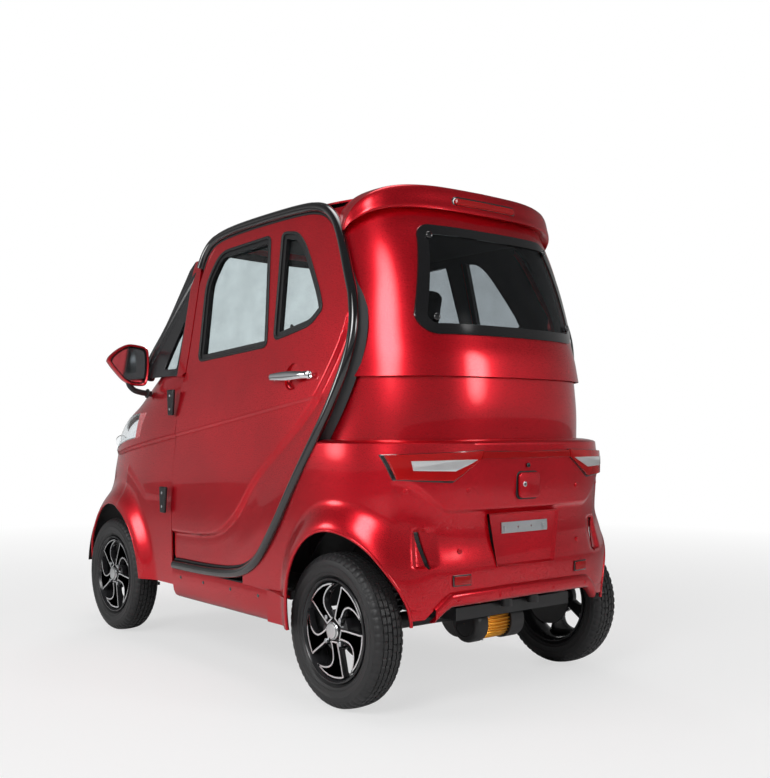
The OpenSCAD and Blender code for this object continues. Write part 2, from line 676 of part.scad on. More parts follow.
floor_w = 860;
module floor_pan() {
    bottom = rail_z + rail_h + seat_gap;
    color([0.1, 0.1, 0.1]) translate([-floor_w / 2, 0, 0]) rotate([90, 0, 90]) linear_extrude(floor_w)
        polygon([[fire_y, 776], [fire_y + 12, 776], [fire_y + 12, floor_z], [545, floor_z], [545, shelf_z],
        [1018, shelf_z], [1018, shelf_z - 14], [559, shelf_z - 14], [559, bottom], [fire_y, bottom]]);
}

module battery_pack() {
    color([0.2, 0.2, 0.22]) translate([-205, seat_y + 30, floor_z + seat_gap])
        cube([410, 350, seat_z - seat_h - floor_z - 2 * seat_gap]);
}

// Rear axle: radius of its tube, distance of its end from the wheel's middle plane, motor
axle_r = 26;
hub_in = 47;
drum_r = 92;
motor_r = 60;
motor_y = 172;
motor_x = [0, 152];
module rear_axle() {
    color([0.15, 0.15, 0.16]) {
        translate([-wheel_x + hub_in, rear_axle_y, tyre_r]) rotate([0, 90, 0])
            cylinder(r = axle_r, h = 2 * (wheel_x - hub_in));
        translate([-wheel_x - 26, rear_axle_y, tyre_r]) rotate([0, 90, 0])
            cylinder(r = spindle_r, h = 2 * wheel_x + 52);
        for (s = [-1, 1]) translate([s * (wheel_x - hub_in - 5) - 5, rear_axle_y, tyre_r])
            rotate([0, 90, 0]) cylinder(r = drum_r, h = 10);
        translate([-70, rear_axle_y, tyre_r]) rotate([0, 90, 0]) cylinder(r = 84, h = 90);
        translate([-60, rear_axle_y, tyre_r - 52]) cube([56, motor_y + 30, 104]);
        translate([-62, rear_axle_y + motor_y, tyre_r]) rotate([0, 90, 0]) cylinder(r = motor_r, h = 58);
        for (s = [-1, 1]) coil_over(s * (tower_x - 22), rear_axle_y);
    }
}

// Spring and damper between an axle and its tower
module coil_over(x, y) {
    translate([x, y, tyre_r]) cylinder(r = 9, h = tower_z - tyre_r - seat_gap);
    translate([x, y, tyre_r + 44]) cylinder(r = 27, h = 150);
    translate([x, y, tyre_r + 36]) cylinder(r = 31, h = 8);
}

module motor() {
    color([0.75, 0.5, 0.1]) translate([motor_x[0] - 4 + seat_gap, rear_axle_y + motor_y, tyre_r])
        rotate([0, 90, 0]) {
            cylinder(r = motor_r - 6, h = motor_x[1]);
            translate([0, 0, 62]) cylinder(r = motor_r, h = motor_x[1] - 62);
            for (a = [0 : 20 : 340]) rotate([0, 0, a]) translate([motor_r - 10, -2, 4]) cube([8, 4, 62]);
        }
}

// Half height of a knuckle's boss
knuckle_h = 34;
module front_axle() {
    color([0.15, 0.15, 0.16]) difference() {
        union() {
            translate([-kingpin_x, front_axle_y - 22, tyre_r - 20]) cube([2 * kingpin_x, 44, 40]);
            for (s = [-1, 1]) translate([s * kingpin_x, front_axle_y, tyre_r - knuckle_h])
                cylinder(r = 24, h = 2 * knuckle_h);
            for (s = [-1, 1]) coil_over(s * (tower_x - 22), front_axle_y);
        }
        for (s = [-1, 1]) translate([s * kingpin_x, front_axle_y, tyre_r - 100])
            cylinder(r = kingpin_r + spindle_gap, h = 200);
    }
}

module knuckle() {
    color([0.3, 0.3, 0.32]) translate([kingpin_x, front_axle_y, tyre_r]) {
        translate([0, 0, -knuckle_h - 14]) cylinder(r = kingpin_r, h = 2 * knuckle_h + 28);
        for (z = [knuckle_h + 0.5, -knuckle_h - 12.5]) translate([0, 0, z]) {
            cylinder(r = 22, h = 12);
            translate([0, -22, 0]) cube([40, 44, 12]);
        }
        translate([29, -22, -knuckle_h - 12.5]) cube([11, 44, 2 * knuckle_h + 25]);
        translate([wheel_x - kingpin_x - hub_in - 10, 0, 0]) rotate([0, 90, 0])
            cylinder(r = drum_r, h = 10);
        translate([34, 0, 0]) rotate([0, 90, 0]) cylinder(r = spindle_r, h = wheel_x - kingpin_x - 34 + 26);
        translate([-10, 18, -knuckle_h - 12.5]) cube([16, 110, 12]);
    }
}

// Half section of a tyre: distance from the axle, distance from the middle plane
function tyre_half() = [[tyre_r, 0], [tyre_r - 2, tyre_w * 0.30], [tyre_r - 9, tyre_w * 0.41],
    [tyre_r - 24, tyre_w * 0.475], [tyre_r - 40, tyre_w * 0.5], [rim_r + 8, tyre_w * 0.47],
    [rim_r - 4, tyre_w * 0.42]];
module tyre() {
    half = tyre_half();
    rotate([0, 90, 0]) rotate_extrude($fn = 96) polygon(concat(half,
        [for (i = [len(half) - 1 : -1 : 1]) [half[i][0], -half[i][1]]]));
}

// Columns: share of the rim radius, angle from the straight edge of a blade
BLADE = [[0.20, -10], [0.58, -3], [0.93, 0], [0.94, 12], [0.94, 24], [0.94, 36], [0.94, 48], [0.93, 60],
    [0.84, 46], [0.76, 33], [0.66, 24], [0.52, 22], [0.36, 26], [0.20, 40]];
// Rim: width and radius of the barrel, place and thickness of the disc, radius of the hub
barrel_w = 92;
barrel_r = rim_r - 4 - seat_gap;
disc_x = 20;
disc_t = 16;
hub_r = 38;
module rim() {
    edge = barrel_w / 2;
    difference() {
        union() {
            rotate([0, 90, 0]) rotate_extrude($fn = 96) polygon([[barrel_r, -edge], [barrel_r, edge],
                [barrel_r - 7, edge], [barrel_r - 13, edge - 14], [barrel_r - 16, 0],
                [barrel_r - 13, -edge + 10], [barrel_r - 7, -edge]]);
            for (k = [0 : spoke_count - 1]) rotate([90, 0, 90]) translate([0, 0, disc_x])
                linear_extrude(disc_t) rotate(k * 360 / spoke_count)
                polygon([for (b = BLADE) barrel_r * b[0] * [cos(-b[1]), sin(-b[1])]]);
            translate([disc_x - 4, 0, 0]) rotate([0, 90, 0]) cylinder(r = nut_pcd / 2 + 14, h = disc_t);
            translate([-hub_in + 12, 0, 0]) rotate([0, 90, 0])
                cylinder(r = hub_r, h = hub_in - 12 + disc_x + 4);
            translate([disc_x, 0, 0]) rotate([0, 90, 0]) cylinder(r = 27, h = disc_t + 8);
        }
        translate([-hub_in, 0, 0]) rotate([0, 90, 0])
            cylinder(r = spindle_r + spindle_gap, h = hub_in + 27);
        for (a = [45 : 90 : 315]) rotate([a, 0, 0]) translate([0, nut_pcd / 2, 0]) rotate([0, 90, 0])
            cylinder(r = nut_hole_r, h = 60);
    }
}

// Puts a wheel in its place with its outer face outwards
module at_wheel(side, y) {
    translate([side * wheel_x, y, tyre_r]) rotate([0, 0, side > 0 ? 0 : 180]) children();
}
tyre_black = [0.04, 0.04, 0.04];
rim_black = [0.2, 0.2, 0.22];

module wiper() {
    color([0.04, 0.04, 0.04]) bar([for (t = [0 : 0.25 : 1]) screen_pt(-0.05 - 0.5 * t, 0.03 + 0.1 * t, 0)
        + [0, -5.1, 4.2]], 6, 6);
}

// Middle of a mirror, and foot of its arm on the body
mirror_c = [600, -492, 1100];
mirror_foot = [495, -480, 985];
// Columns: point of the housing's outline seen from behind, distance out and up from its middle
MIRROR = [[84, 14], [74, 34], [8, 80], [-14, 84], [-76, 75], [-88, 62], [-92, -14], [-83, -70],
    [-70, -82], [-12, -78], [44, -34]];
module mirrors() {
    color(red) both_sides() {
        bar([mirror_foot, mirror_foot + [40, -6, 14], mirror_c + [-34, 2, -58]], 9, 8);
        translate(mirror_c) rotate([90, 0, 0]) hull() {
            translate([0, 0, -20]) linear_extrude(8) polygon(0.96 * MIRROR);
            translate([0, 0, -12]) linear_extrude(14) polygon(MIRROR);
            linear_extrude(30) polygon(0.84 * MIRROR);
            linear_extrude(42) polygon(0.5 * MIRROR);
        }
    }
}

module charge_lid() {
    color(red) difference() {
        union() {
            translate([-lid_w / 2, lid_y, lid_z - lid_h / 2]) cube([lid_w, 10, lid_h]);
            translate([-lid_w / 2, lid_y + 5, lid_z + lid_h / 2]) rotate([0, 90, 0])
                cylinder(r = 6, h = lid_w);
        }
        translate([-lid_w, lid_y + 5, lid_z + lid_h / 2]) rotate([0, 90, 0])
            cylinder(r = lid_pin_r + spindle_gap, h = 2 * lid_w);
    }
}

chassis_frame();
floor_pan();
battery_pack();
sills();
rear_clip();
belt_band();
rear_shell();
roof_panel();
spoiler();
brake_lamp();
rear_window();
tail_lamps();
plate_bracket();
reflectors();
rear_valance();
tow_eyes();
door_tubes();
front_body();
front_bumper();
headlamps();
front_glass();
pillar_frame();
wiper();
mirrors();
dashboard();
seat_base();
seat_back();
rear_seat_base();
rear_seat_back();
rear_axle();
motor();
front_axle();
door_hinges();
charge_lid();
door_panel_left();  // door_left_panel
door_glass_left();  // door_left_glass
door_handle_left();  // door_left_handle
mirror([1, 0, 0]) door_panel_left();  // door_right_panel
mirror([1, 0, 0]) door_glass_left();  // door_right_glass
mirror([1, 0, 0]) door_handle_left();  // door_right_handle
knuckle();  // knuckle_left
mirror([1, 0, 0]) knuckle();  // knuckle_right
steering_wheel();
color(tyre_black) at_wheel(1, front_axle_y) tyre();  // tyre_front_left
color(rim_black) at_wheel(1, front_axle_y) rim();  // rim_front_left
color(tyre_black) at_wheel(-1, front_axle_y) tyre();  // tyre_front_right
color(rim_black) at_wheel(-1, front_axle_y) rim();  // rim_front_right
color(tyre_black) at_wheel(1, rear_axle_y) tyre();  // tyre_rear_left
color(rim_black) at_wheel(1, rear_axle_y) rim();  // rim_rear_left
color(tyre_black) at_wheel(-1, rear_axle_y) tyre();  // tyre_rear_right
color(rim_black) at_wheel(-1, rear_axle_y) rim();  // rim_rear_right
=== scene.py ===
from bisect import bisect_right
from math import cos, pi, radians, sin

import bmesh
import bpy
import numpy as np
from mathutils import Matrix, Vector


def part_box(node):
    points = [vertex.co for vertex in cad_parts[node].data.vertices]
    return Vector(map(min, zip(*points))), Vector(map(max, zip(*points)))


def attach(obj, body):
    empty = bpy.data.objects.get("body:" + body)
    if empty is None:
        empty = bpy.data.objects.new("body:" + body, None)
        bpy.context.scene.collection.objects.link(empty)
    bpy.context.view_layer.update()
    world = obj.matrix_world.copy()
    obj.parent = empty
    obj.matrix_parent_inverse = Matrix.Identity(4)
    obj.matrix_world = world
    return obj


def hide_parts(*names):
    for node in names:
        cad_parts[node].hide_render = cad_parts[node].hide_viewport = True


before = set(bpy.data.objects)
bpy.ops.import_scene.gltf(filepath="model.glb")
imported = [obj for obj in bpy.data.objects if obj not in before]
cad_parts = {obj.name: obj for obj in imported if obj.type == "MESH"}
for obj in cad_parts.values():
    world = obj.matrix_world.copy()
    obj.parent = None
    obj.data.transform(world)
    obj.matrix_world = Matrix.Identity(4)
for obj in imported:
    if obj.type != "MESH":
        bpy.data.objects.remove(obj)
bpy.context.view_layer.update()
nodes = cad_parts

# The studio: a pale floor under a white surround, with large soft lamps round the scooter.
# The camera stands behind the left rear corner, a little under the height of the belt line.
bpy.ops.object.select_all(action="DESELECT")
bpy.ops.mesh.primitive_plane_add(size=60, location=(0, 0, 0))
floor = bpy.context.object
floor.name = "studio_floor"
floor_paint = bpy.data.materials.new("studio_floor_paint")
floor_paint.use_nodes = True
tree = floor_paint.node_tree
shade = tree.nodes["Principled BSDF"]
shade.inputs["Base Color"].default_value = (0.86, 0.86, 0.86, 1)
shade.inputs["Roughness"].default_value = 0.7
light_path = tree.nodes.new("ShaderNodeLightPath")
coordinate = tree.nodes.new("ShaderNodeTexCoord")
distance = tree.nodes.new("ShaderNodeVectorMath")
distance.operation = "LENGTH"
fading = tree.nodes.new("ShaderNodeMapRange")
fading.inputs["From Min"].default_value = 1.6
fading.inputs["From Max"].default_value = 5.5
fading.inputs["To Min"].default_value = 0.62
fading.inputs["To Max"].default_value = 1.0
seen = tree.nodes.new("ShaderNodeMath")
seen.operation = "MULTIPLY"
tree.links.new(coordinate.outputs["Object"], distance.inputs[0])
tree.links.new(distance.outputs["Value"], fading.inputs["Value"])
tree.links.new(fading.outputs["Result"], seen.inputs[1])
white = tree.nodes.new("ShaderNodeEmission")
white.inputs["Strength"].default_value = 1.0
both = tree.nodes.new("ShaderNodeMixShader")
tree.links.new(light_path.outputs["Is Camera Ray"], seen.inputs[0])
tree.links.new(seen.outputs[0], both.inputs["Fac"])
tree.links.new(shade.outputs["BSDF"], both.inputs[1])
tree.links.new(white.outputs["Emission"], both.inputs[2])
tree.links.new(both.outputs["Shader"], tree.nodes["Material Output"].inputs["Surface"])
floor.data.materials.append(floor_paint)

world = bpy.data.worlds.new("studio_air")
bpy.context.scene.world = world
world.use_nodes = True
tree = world.node_tree
air = tree.nodes["Background"]
air.inputs["Color"].default_value = (1, 1, 1, 1)
light_path = tree.nodes.new("ShaderNodeLightPath")
coordinate = tree.nodes.new("ShaderNodeTexCoord")
split = tree.nodes.new("ShaderNodeSeparateXYZ")
horizon = tree.nodes.new("ShaderNodeMapRange")
horizon.inputs["From Min"].default_value = 0.02
horizon.inputs["From Max"].default_value = 0.5
horizon.inputs["To Min"].default_value = 0.4
horizon.inputs["To Max"].default_value = 0.1
behind = tree.nodes.new("ShaderNodeMath")
behind.operation = "MAXIMUM"
strength = tree.nodes.new("ShaderNodeMix")
strength.data_type = "FLOAT"
tree.links.new(coordinate.outputs["Generated"], split.inputs[0])
tree.links.new(split.outputs["Z"], horizon.inputs["Value"])
tree.links.new(light_path.outputs["Is Camera Ray"], behind.inputs[0])
tree.links.new(light_path.outputs["Is Transmission Ray"], behind.inputs[1])
tree.links.new(behind.outputs[0], strength.inputs["Factor"])
tree.links.new(horizon.outputs["Result"], strength.inputs["A"])
strength.inputs["B"].default_value = 1.0
tree.links.new(strength.outputs["Result"], air.inputs["Strength"])

# Lamps, brighter in their middles, so that their reflections fade out at the edges.
# Columns: name, place, point it faces, width, height, power in watts
for name, place, target, width, height, power in (
        ("key_softbox", (3.6, 2.4, 2.9), (0.2, 0.5, 0.8), 2.6, 3.0, 150),
        ("side_softbox", (4.6, -2.0, 1.9), (0.4, -0.3, 0.8), 2.6, 2.0, 75),
        ("rear_softbox", (-1.6, 4.8, 2.3), (0, 1.0, 0.8), 1.8, 2.2, 75),
        ("top_softbox", (0.2, 0.4, 4.4), (0, 0.3, 1.0), 3.4, 3.0, 85),
        ("front_softbox", (-2.6, -4.2, 2.4), (0, -0.6, 0.8), 2.4, 2.0, 90)):
    bpy.ops.object.light_add(type="AREA", location=place)
    lamp = bpy.context.object
    lamp.name = name
    lamp.data.shape = "RECTANGLE"
    lamp.data.size = width
    lamp.data.size_y = height
    lamp.data.energy = power * 1.9
    lamp.visible_transmission = False
    lamp.data.use_nodes = True
    tree = lamp.data.node_tree
    place_on_lamp = tree.nodes.new("ShaderNodeNewGeometry")
    from_middle = tree.nodes.new("ShaderNodeVectorMath")
    from_middle.operation = "DISTANCE"
    from_middle.inputs[1].default_value = (0.5, 0.5, 0)
    fade = tree.nodes.new("ShaderNodeMapRange")
    fade.interpolation_type = "SMOOTHSTEP"
    fade.inputs["From Min"].default_value = 0.5
    fade.inputs["From Max"].default_value = 0.12
    tree.links.new(place_on_lamp.outputs["Parametric"], from_middle.inputs[0])
    tree.links.new(from_middle.outputs["Value"], fade.inputs["Value"])
    tree.links.new(fade.outputs["Result"], tree.nodes["Emission"].inputs["Strength"])
    lamp.rotation_euler = (Vector(target) - Vector(place)).to_track_quat("-Z", "Y").to_euler()

photo_height = 778
focal_pixels = 1012.6
look = Vector((-0.631313, -0.774367, 0.042425))
bpy.ops.object.camera_add(location=(2.3634, 3.3181, 0.8464))
camera = bpy.context.object
camera.name = "photo_camera"
camera.rotation_euler = look.to_track_quat("-Z", "Y").to_euler()
camera.data.sensor_fit = "VERTICAL"
camera.data.sensor_height = 24
camera.data.lens = focal_pixels / photo_height * camera.data.sensor_height
camera.data.shift_y = -0.00485
bpy.context.scene.camera = camera
bpy.context.scene.view_settings.view_transform = "Standard"

# Rear shell: the upper body of painted plastic behind the doors, moulded in one piece
# with rounded corners, held by screws along its front edge and hung over the band below.
def only(*pieces):
    """Selects these pieces alone and makes the first one active."""
    bpy.ops.object.select_all(action="DESELECT")
    for piece in pieces:
        piece.select_set(True)
    bpy.context.view_layer.objects.active = pieces[0]


def applied(piece, kind, **settings):
    """Puts a modifier on a piece with these settings and applies it."""
    only(piece)
    modifier = piece.modifiers.new(kind.title(), kind)
    for setting, value in settings.items():
        setattr(modifier, setting, value)
    bpy.ops.object.modifier_apply(modifier=modifier.name)
    return piece


def smoothed(piece, degrees=32):
    only(piece)
    bpy.ops.object.shade_smooth_by_angle(angle=radians(degrees))
    return piece


def draped(name, rows, outward=None):
    """A flat grid pulled over rows of points, as a sheet, facing away from the vehicle's middle."""
    bpy.ops.object.select_all(action="DESELECT")
    bpy.ops.mesh.primitive_grid_add(x_subdivisions=len(rows[0]) - 1, y_subdivisions=len(rows) - 1, size=1)
    piece = bpy.context.object
    piece.name = name
    piece.data.vertices.foreach_set("co", np.array(rows, dtype=np.float32).ravel())
    piece.data.update()
    middle = piece.data.polygons[len(piece.data.polygons) // 2]
    away = outward or (middle.center - Vector((0, 0.1, 0.8)))
    if middle.normal.dot(Vector(away)) < 0:
        piece.data.flip_normals()
    return piece


def prism(name, outline, start, end, axis="y"):
    """A closed bar with this outline, between two places along an axis."""
    order = {"x": lambda p, q: (q, p[0], p[1]), "y": lambda p, q: (p[0], q, p[1]),
             "z": lambda p, q: (p[0], p[1], q)}[axis]
    mesh = bpy.data.meshes.new(name)
    shape = bmesh.new()
    low = [shape.verts.new(order(p, start)) for p in outline]
    high = [shape.verts.new(order(p, end)) for p in outline]
    shape.faces.new(low)
    shape.faces.new(high)
    for i in range(len(low)):
        j = (i + 1) % len(low)
        shape.faces.new((low[i], low[j], high[j], high[i]))
    bmesh.ops.recalc_face_normals(shape, faces=shape.faces)
    shape.to_mesh(mesh)
    shape.free()
    piece = bpy.data.objects.new(name, mesh)
    bpy.context.collection.objects.link(piece)
    return piece


def cut(piece, *tools, operation="DIFFERENCE"):
    """Cuts a piece with each tool in turn and throws the tools away."""
    for tool in tools:
        applied(piece, "BOOLEAN", object=tool, operation=operation, solver="MANIFOLD")
        bpy.data.objects.remove(tool)
    return piece


def done(piece, finish, slot, body, *stands_for):
    """Paints a finished piece, and puts it on its body in place of its CAD nodes."""
    piece.data.materials.clear()
    piece.data.materials.append(finish)
    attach(piece, body)
    if stands_for:
        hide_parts(*stands_for)
    return piece


def reading(table, at, column=1):
    """A column of a table at a place, on a smooth curve through its rows."""
    rows = table if table[0][0] < table[-1][0] else table[::-1]
    keys = [row[0] for row in rows]
    at = min(max(at, keys[0]), keys[-1])
    i = min(bisect_right(keys, at) - 1, len(keys) - 2)

    def slope(k):
        a, b = max(k - 1, 0), min(k + 1, len(keys) - 1)
        return (rows[b][column] - rows[a][column]) / (keys[b] - keys[a])
    h = keys[i + 1] - keys[i]
    t = (at - keys[i]) / h
    return ((2 * t ** 3 - 3 * t ** 2 + 1) * rows[i][column] + (t ** 3 - 2 * t ** 2 + t) * h * slope(i)
            + (3 * t ** 2 - 2 * t ** 3) * rows[i + 1][column] + (t ** 3 - t ** 2) * h * slope(i + 1))


def through(points, steps):
    """Points of a smooth curve through a list of points."""
    found = []
    for i in range(len(points) - 1):
        a, b, c, d = (np.array(points[min(max(i + k, 0), len(points) - 1)], float) for k in (-1, 0, 1, 2))
        for s in range(steps):
            t = s / steps
            found.append(0.5 * (2 * b + t * (c - a) + t * t * (2 * a - 5 * b + 4 * c - d)
                                + t ** 3 * (3 * b - a - 3 * c + d)))
    return found + [np.array(points[-1], float)]


def plan(half_width, reach, squareness, middle, start, count):
    """The body's outline from above: evenly spaced points from the left side round the end to the right."""
    side = 1 if reach > 0 else -1
    angle = np.linspace(0, pi / 2, 700)
    x = half_width * np.cos(angle).clip(0) ** (2 / squareness)
    y = side * abs(reach) * np.sin(angle) ** (2 / squareness) + middle
    inside = side * (y - start) > 0
    x, y = np.concatenate([[np.interp(start, y[::side], x[::side])], x[inside]]), np.concatenate([[start],
        y[inside]])
    length = np.concatenate([[0], np.cumsum(np.hypot(np.diff(x), np.diff(y)))])
    even = np.linspace(0, length[-1], count + 1)
    x, y = np.interp(even, length, x), np.interp(even, length, y)
    return np.array([*zip(x, y), *zip(-x[-2::-1], y[-2::-1])])


# Columns of the tube round a door opening: place along the vehicle, height
tube_points = [(-0.165, 0.333), (0.06, 0.335), (0.239, 0.345), (0.355, 0.37), (0.446, 0.425), (0.544, 0.532),
               (0.63, 0.649), (0.728, 0.788), (0.809, 0.918), (0.86, 1.04), (0.874, 1.15), (0.852, 1.25),
               (0.816, 1.325), (0.748, 1.46), (0.69, 1.535), (0.61, 1.576), (0.483, 1.591), (0.21, 1.592),
               (0.02, 1.584), (-0.086, 1.564), (-0.138, 1.522), (-0.163, 1.466)]
tube_line = through(tube_points, 12)
tube_rear = [(p[1], p[0]) for p in tube_line if p[0] > 0.36 and p[1] < 1.592]

# Columns: height, half width, reach to the rear, squareness of the corners
shell_rows = [(1.005, 0.521, 0.524, 2.75), (1.075, 0.512, 0.512, 2.75), (1.141, 0.502, 0.492, 2.8),
              (1.235, 0.487, 0.468, 2.9), (1.33, 0.47, 0.44, 3.0), (1.42, 0.456, 0.404, 3.1),
              (1.5, 0.442, 0.362, 3.2), (1.545, 0.431, 0.336, 3.3), (1.566, 0.424, 0.322, 3.3)]
tail_middle = 0.588
around = 80


def shell_row(z, out=0.0, under_tube=0.004):
    width, reach, squareness = (reading(shell_rows, z, k) for k in (1, 2, 3))
    start = np.interp(z, [p[0] for p in tube_rear], [p[1] for p in tube_rear]) + under_tube
    return [(x, y, z) for x, y in plan(width + out, reach + out, squareness, tail_middle, start, around)]


heights = list(np.linspace(1.007, 1.562, 62))
lip = [(1.005, -0.006), (1.0042, -0.003), (1.005, 0.0)]
shell = draped("rear_shell_skin", [shell_row(1.005, -0.008)]
               + [shell_row(z, out) for z, out in lip] + [shell_row(z) for z in heights])
applied(shell, "SOLIDIFY", thickness=0.006, offset=-1)

window_corners = [((0.292, 1.195), 0.062), ((0.248, 1.44), 0.052), ((-0.248, 1.44), 0.052),
                  ((-0.292, 1.195), 0.062)]


def window_outline(grow=0.0, steps=9):
    """The rear window from behind: four round corners joined by straight edges."""
    found = []
    turns = [(-100, 0), (0, 82), (98, 180), (180, 280)]
    for ((x, z), radius), (first, last) in zip(window_corners, turns):
        for k in range(steps + 1):
            a = radians(first + (last - first) * k / steps)
            found.append((x + (radius + grow) * cos(a), z + (radius + grow) * sin(a)))
    return found


cut(shell, prism("window_hole", window_outline(-0.03), 0.7, 1.3))
smoothed(shell)


def linked(material, kind, **inputs):
    """A new node in a material, with values or links given to its inputs."""
    node = material.node_tree.nodes.new(kind)
    for name, value in inputs.items():
        socket = node.inputs[name.replace("_", " ")]
        if isinstance(value, bpy.types.NodeSocket):
            material.node_tree.links.new(value, socket)
        else:
            socket.default_value = value
    return node


# Node group: a fine sparkle of metal flakes and a soft orange peel in the lacquer over it
flake_group = bpy.data.node_groups.new("metal_flakes", "ShaderNodeTree")
for name, kind in (("Fineness", "NodeSocketFloat"), ("Dark", "NodeSocketColor"),
                   ("Bright", "NodeSocketColor")):
    flake_group.interface.new_socket(name, in_out="INPUT", socket_type=kind)
flake_group.interface.new_socket("Color", in_out="OUTPUT", socket_type="NodeSocketColor")
flake_group.interface.new_socket("Roughness", in_out="OUTPUT", socket_type="NodeSocketFloat")
flake_group.interface.new_socket("Height", in_out="OUTPUT", socket_type="NodeSocketFloat")
add = flake_group.nodes.new
given, out = add("NodeGroupInput"), add("NodeGroupOutput")
coordinate, flakes, clouds = add("ShaderNodeTexCoord"), add("ShaderNodeTexVoronoi"), add("ShaderNodeTexNoise")
peel, mix, spread = add("ShaderNodeTexNoise"), add("ShaderNodeMix"), add("ShaderNodeMapRange")
mix.data_type = "RGBA"
clouds.inputs["Scale"].default_value = 3.0
peel.inputs["Scale"].default_value = 160.0
spread.inputs["To Min"].default_value = 0.24
spread.inputs["To Max"].default_value = 0.4
blend = add("ShaderNodeMath")
blend.operation = "MULTIPLY_ADD"
blend.inputs[1].default_value = 0.35
join = flake_group.links.new
for texture in (flakes, clouds, peel):
    join(coordinate.outputs["Object"], texture.inputs["Vector"])
join(given.outputs["Fineness"], flakes.inputs["Scale"])
join(flakes.outputs["Color"], blend.inputs[0])
join(clouds.outputs["Fac"], blend.inputs[2])
join(blend.outputs[0], mix.inputs["Factor"])
join(given.outputs["Dark"], mix.inputs["A"])
join(given.outputs["Bright"], mix.inputs["B"])
join(mix.outputs["Result"], out.inputs["Color"])
join(flakes.outputs["Color"], spread.inputs["Value"])
join(spread.outputs["Result"], out.inputs["Roughness"])
join(peel.outputs["Fac"], out.inputs["Height"])


def grouped(material, group, **inputs):
    """Places a node group in a material with these values."""
    node = material.node_tree.nodes.new("ShaderNodeGroup")
    node.node_tree = group
    for name, value in inputs.items():
        node.inputs[name].default_value = value
    return node


def lacquered(name, dark, bright, metallic=0.72):
    """Metallic paint under clear lacquer."""
    paint = bpy.data.materials.new(name)
    paint.use_nodes = True
    shade = paint.node_tree.nodes["Principled BSDF"]
    flakes = grouped(paint, flake_group, Fineness=900.0, Dark=dark, Bright=bright)
    join = paint.node_tree.links.new
    join(flakes.outputs["Color"], shade.inputs["Base Color"])
    join(flakes.outputs["Roughness"], shade.inputs["Roughness"])
    bump = linked(paint, "ShaderNodeBump", Strength=0.04, Distance=0.0004, Height=flakes.outputs["Height"])
    join(bump.outputs["Normal"], shade.inputs["Normal"])
    shade.inputs["Metallic"].default_value = metallic
    shade.inputs["Coat Weight"].default_value = 0.75
    shade.inputs["Coat Roughness"].default_value = 0.03
    shade.inputs["Coat IOR"].default_value = 1.4
    return paint


body_paint = lacquered("candy_red_lacquer", (0.33, 0.001, 0.006, 1), (0.7, 0.003, 0.016, 1))
done(shell, body_paint, "body_red", "chassis", "rear_shell")

# Rear window: one bonded pane with a wide black painted border and three round clamping knobs.
# The same bent sheet gives the border and the clear middle, each cut out by its own outline.
def pane_of_shell(name, outer, inner, lift, thickness):
    zs = np.linspace(1.08, 1.545, 48)
    sheet = draped(name, [shell_row(z, lift) for z in zs])
    applied(sheet, "SOLIDIFY", thickness=thickness, offset=-1)
    cut(sheet, prism(name + "_edge", outer, 0.7, 1.3), operation="INTERSECT")
    if inner:
        cut(sheet, prism(name + "_middle", inner, 0.7, 1.3))
    return smoothed(sheet, 40)


def plain_finish(name, color, roughness, **more):
    """A moulded plastic or painted finish: grain in its bump, and a little dust in its colour."""
    finish = bpy.data.materials.new(name)
    finish.use_nodes = True
    shade = finish.node_tree.nodes["Principled BSDF"]
    surface = grouped(finish, grain_group, **{"Grain": more.pop("grain", 900.0)})
    surface.inputs["Base"].default_value = color
    surface.inputs["Roughness"].default_value = roughness
    join = finish.node_tree.links.new
    join(surface.outputs["Color"], shade.inputs["Base Color"])
    join(surface.outputs["Roughness"], shade.inputs["Roughness"])
    bump = linked(finish, "ShaderNodeBump", Strength=more.pop("bump", 0.15), Distance=0.0006,
                  Height=surface.outputs["Height"])
    join(bump.outputs["Normal"], shade.inputs["Normal"])
    for socket, value in more.items():
        shade.inputs[socket.replace("_", " ")].default_value = value
    return finish


# Node group: fine moulded grain, with a faint cloud of dust and wear over the colour and the gloss
grain_group = bpy.data.node_groups.new("moulded_grain", "ShaderNodeTree")
for name, kind in (("Base", "NodeSocketColor"), ("Roughness", "NodeSocketFloat"),
                   ("Grain", "NodeSocketFloat")):
    grain_group.interface.new_socket(name, in_out="INPUT", socket_type=kind)
grain_group.interface.new_socket("Color", in_out="OUTPUT", socket_type="NodeSocketColor")
grain_group.interface.new_socket("Roughness", in_out="OUTPUT", socket_type="NodeSocketFloat")
grain_group.interface.new_socket("Height", in_out="OUTPUT", socket_type="NodeSocketFloat")
add = grain_group.nodes.new
given, out = add("NodeGroupInput"), add("NodeGroupOutput")
coordinate, grain, dust = add("ShaderNodeTexCoord"), add("ShaderNodeTexNoise"), add("ShaderNodeTexNoise")
dust.inputs["Scale"].default_value = 9.0
dust.inputs["Detail"].default_value = 6.0
level, tint, gloss = add("ShaderNodeMapRange"), add("ShaderNodeMix"), add("ShaderNodeMath")
level.inputs["From Min"].default_value = 0.35
level.inputs["From Max"].default_value = 0.75
level.inputs["To Min"].default_value = 0.93
level.inputs["To Max"].default_value = 1.07
tint.data_type = "RGBA"
tint.blend_type = "MULTIPLY"
tint.inputs["Factor"].default_value = 1.0
gloss.operation = "MULTIPLY"
join = grain_group.links.new
join(coordinate.outputs["Object"], grain.inputs["Vector"])
join(coordinate.outputs["Object"], dust.inputs["Vector"])
join(given.outputs["Grain"], grain.inputs["Scale"])
join(dust.outputs["Fac"], level.inputs["Value"])
join(given.outputs["Base"], tint.inputs["A"])
join(level.outputs["Result"], tint.inputs["B"])
join(given.outputs["Roughness"], gloss.inputs[0])
join(level.outputs["Result"], gloss.inputs[1])
join(tint.outputs["Result"], out.inputs["Color"])
join(gloss.outputs[0], out.inputs["Roughness"])
join(grain.outputs["Fac"], out.inputs["Height"])


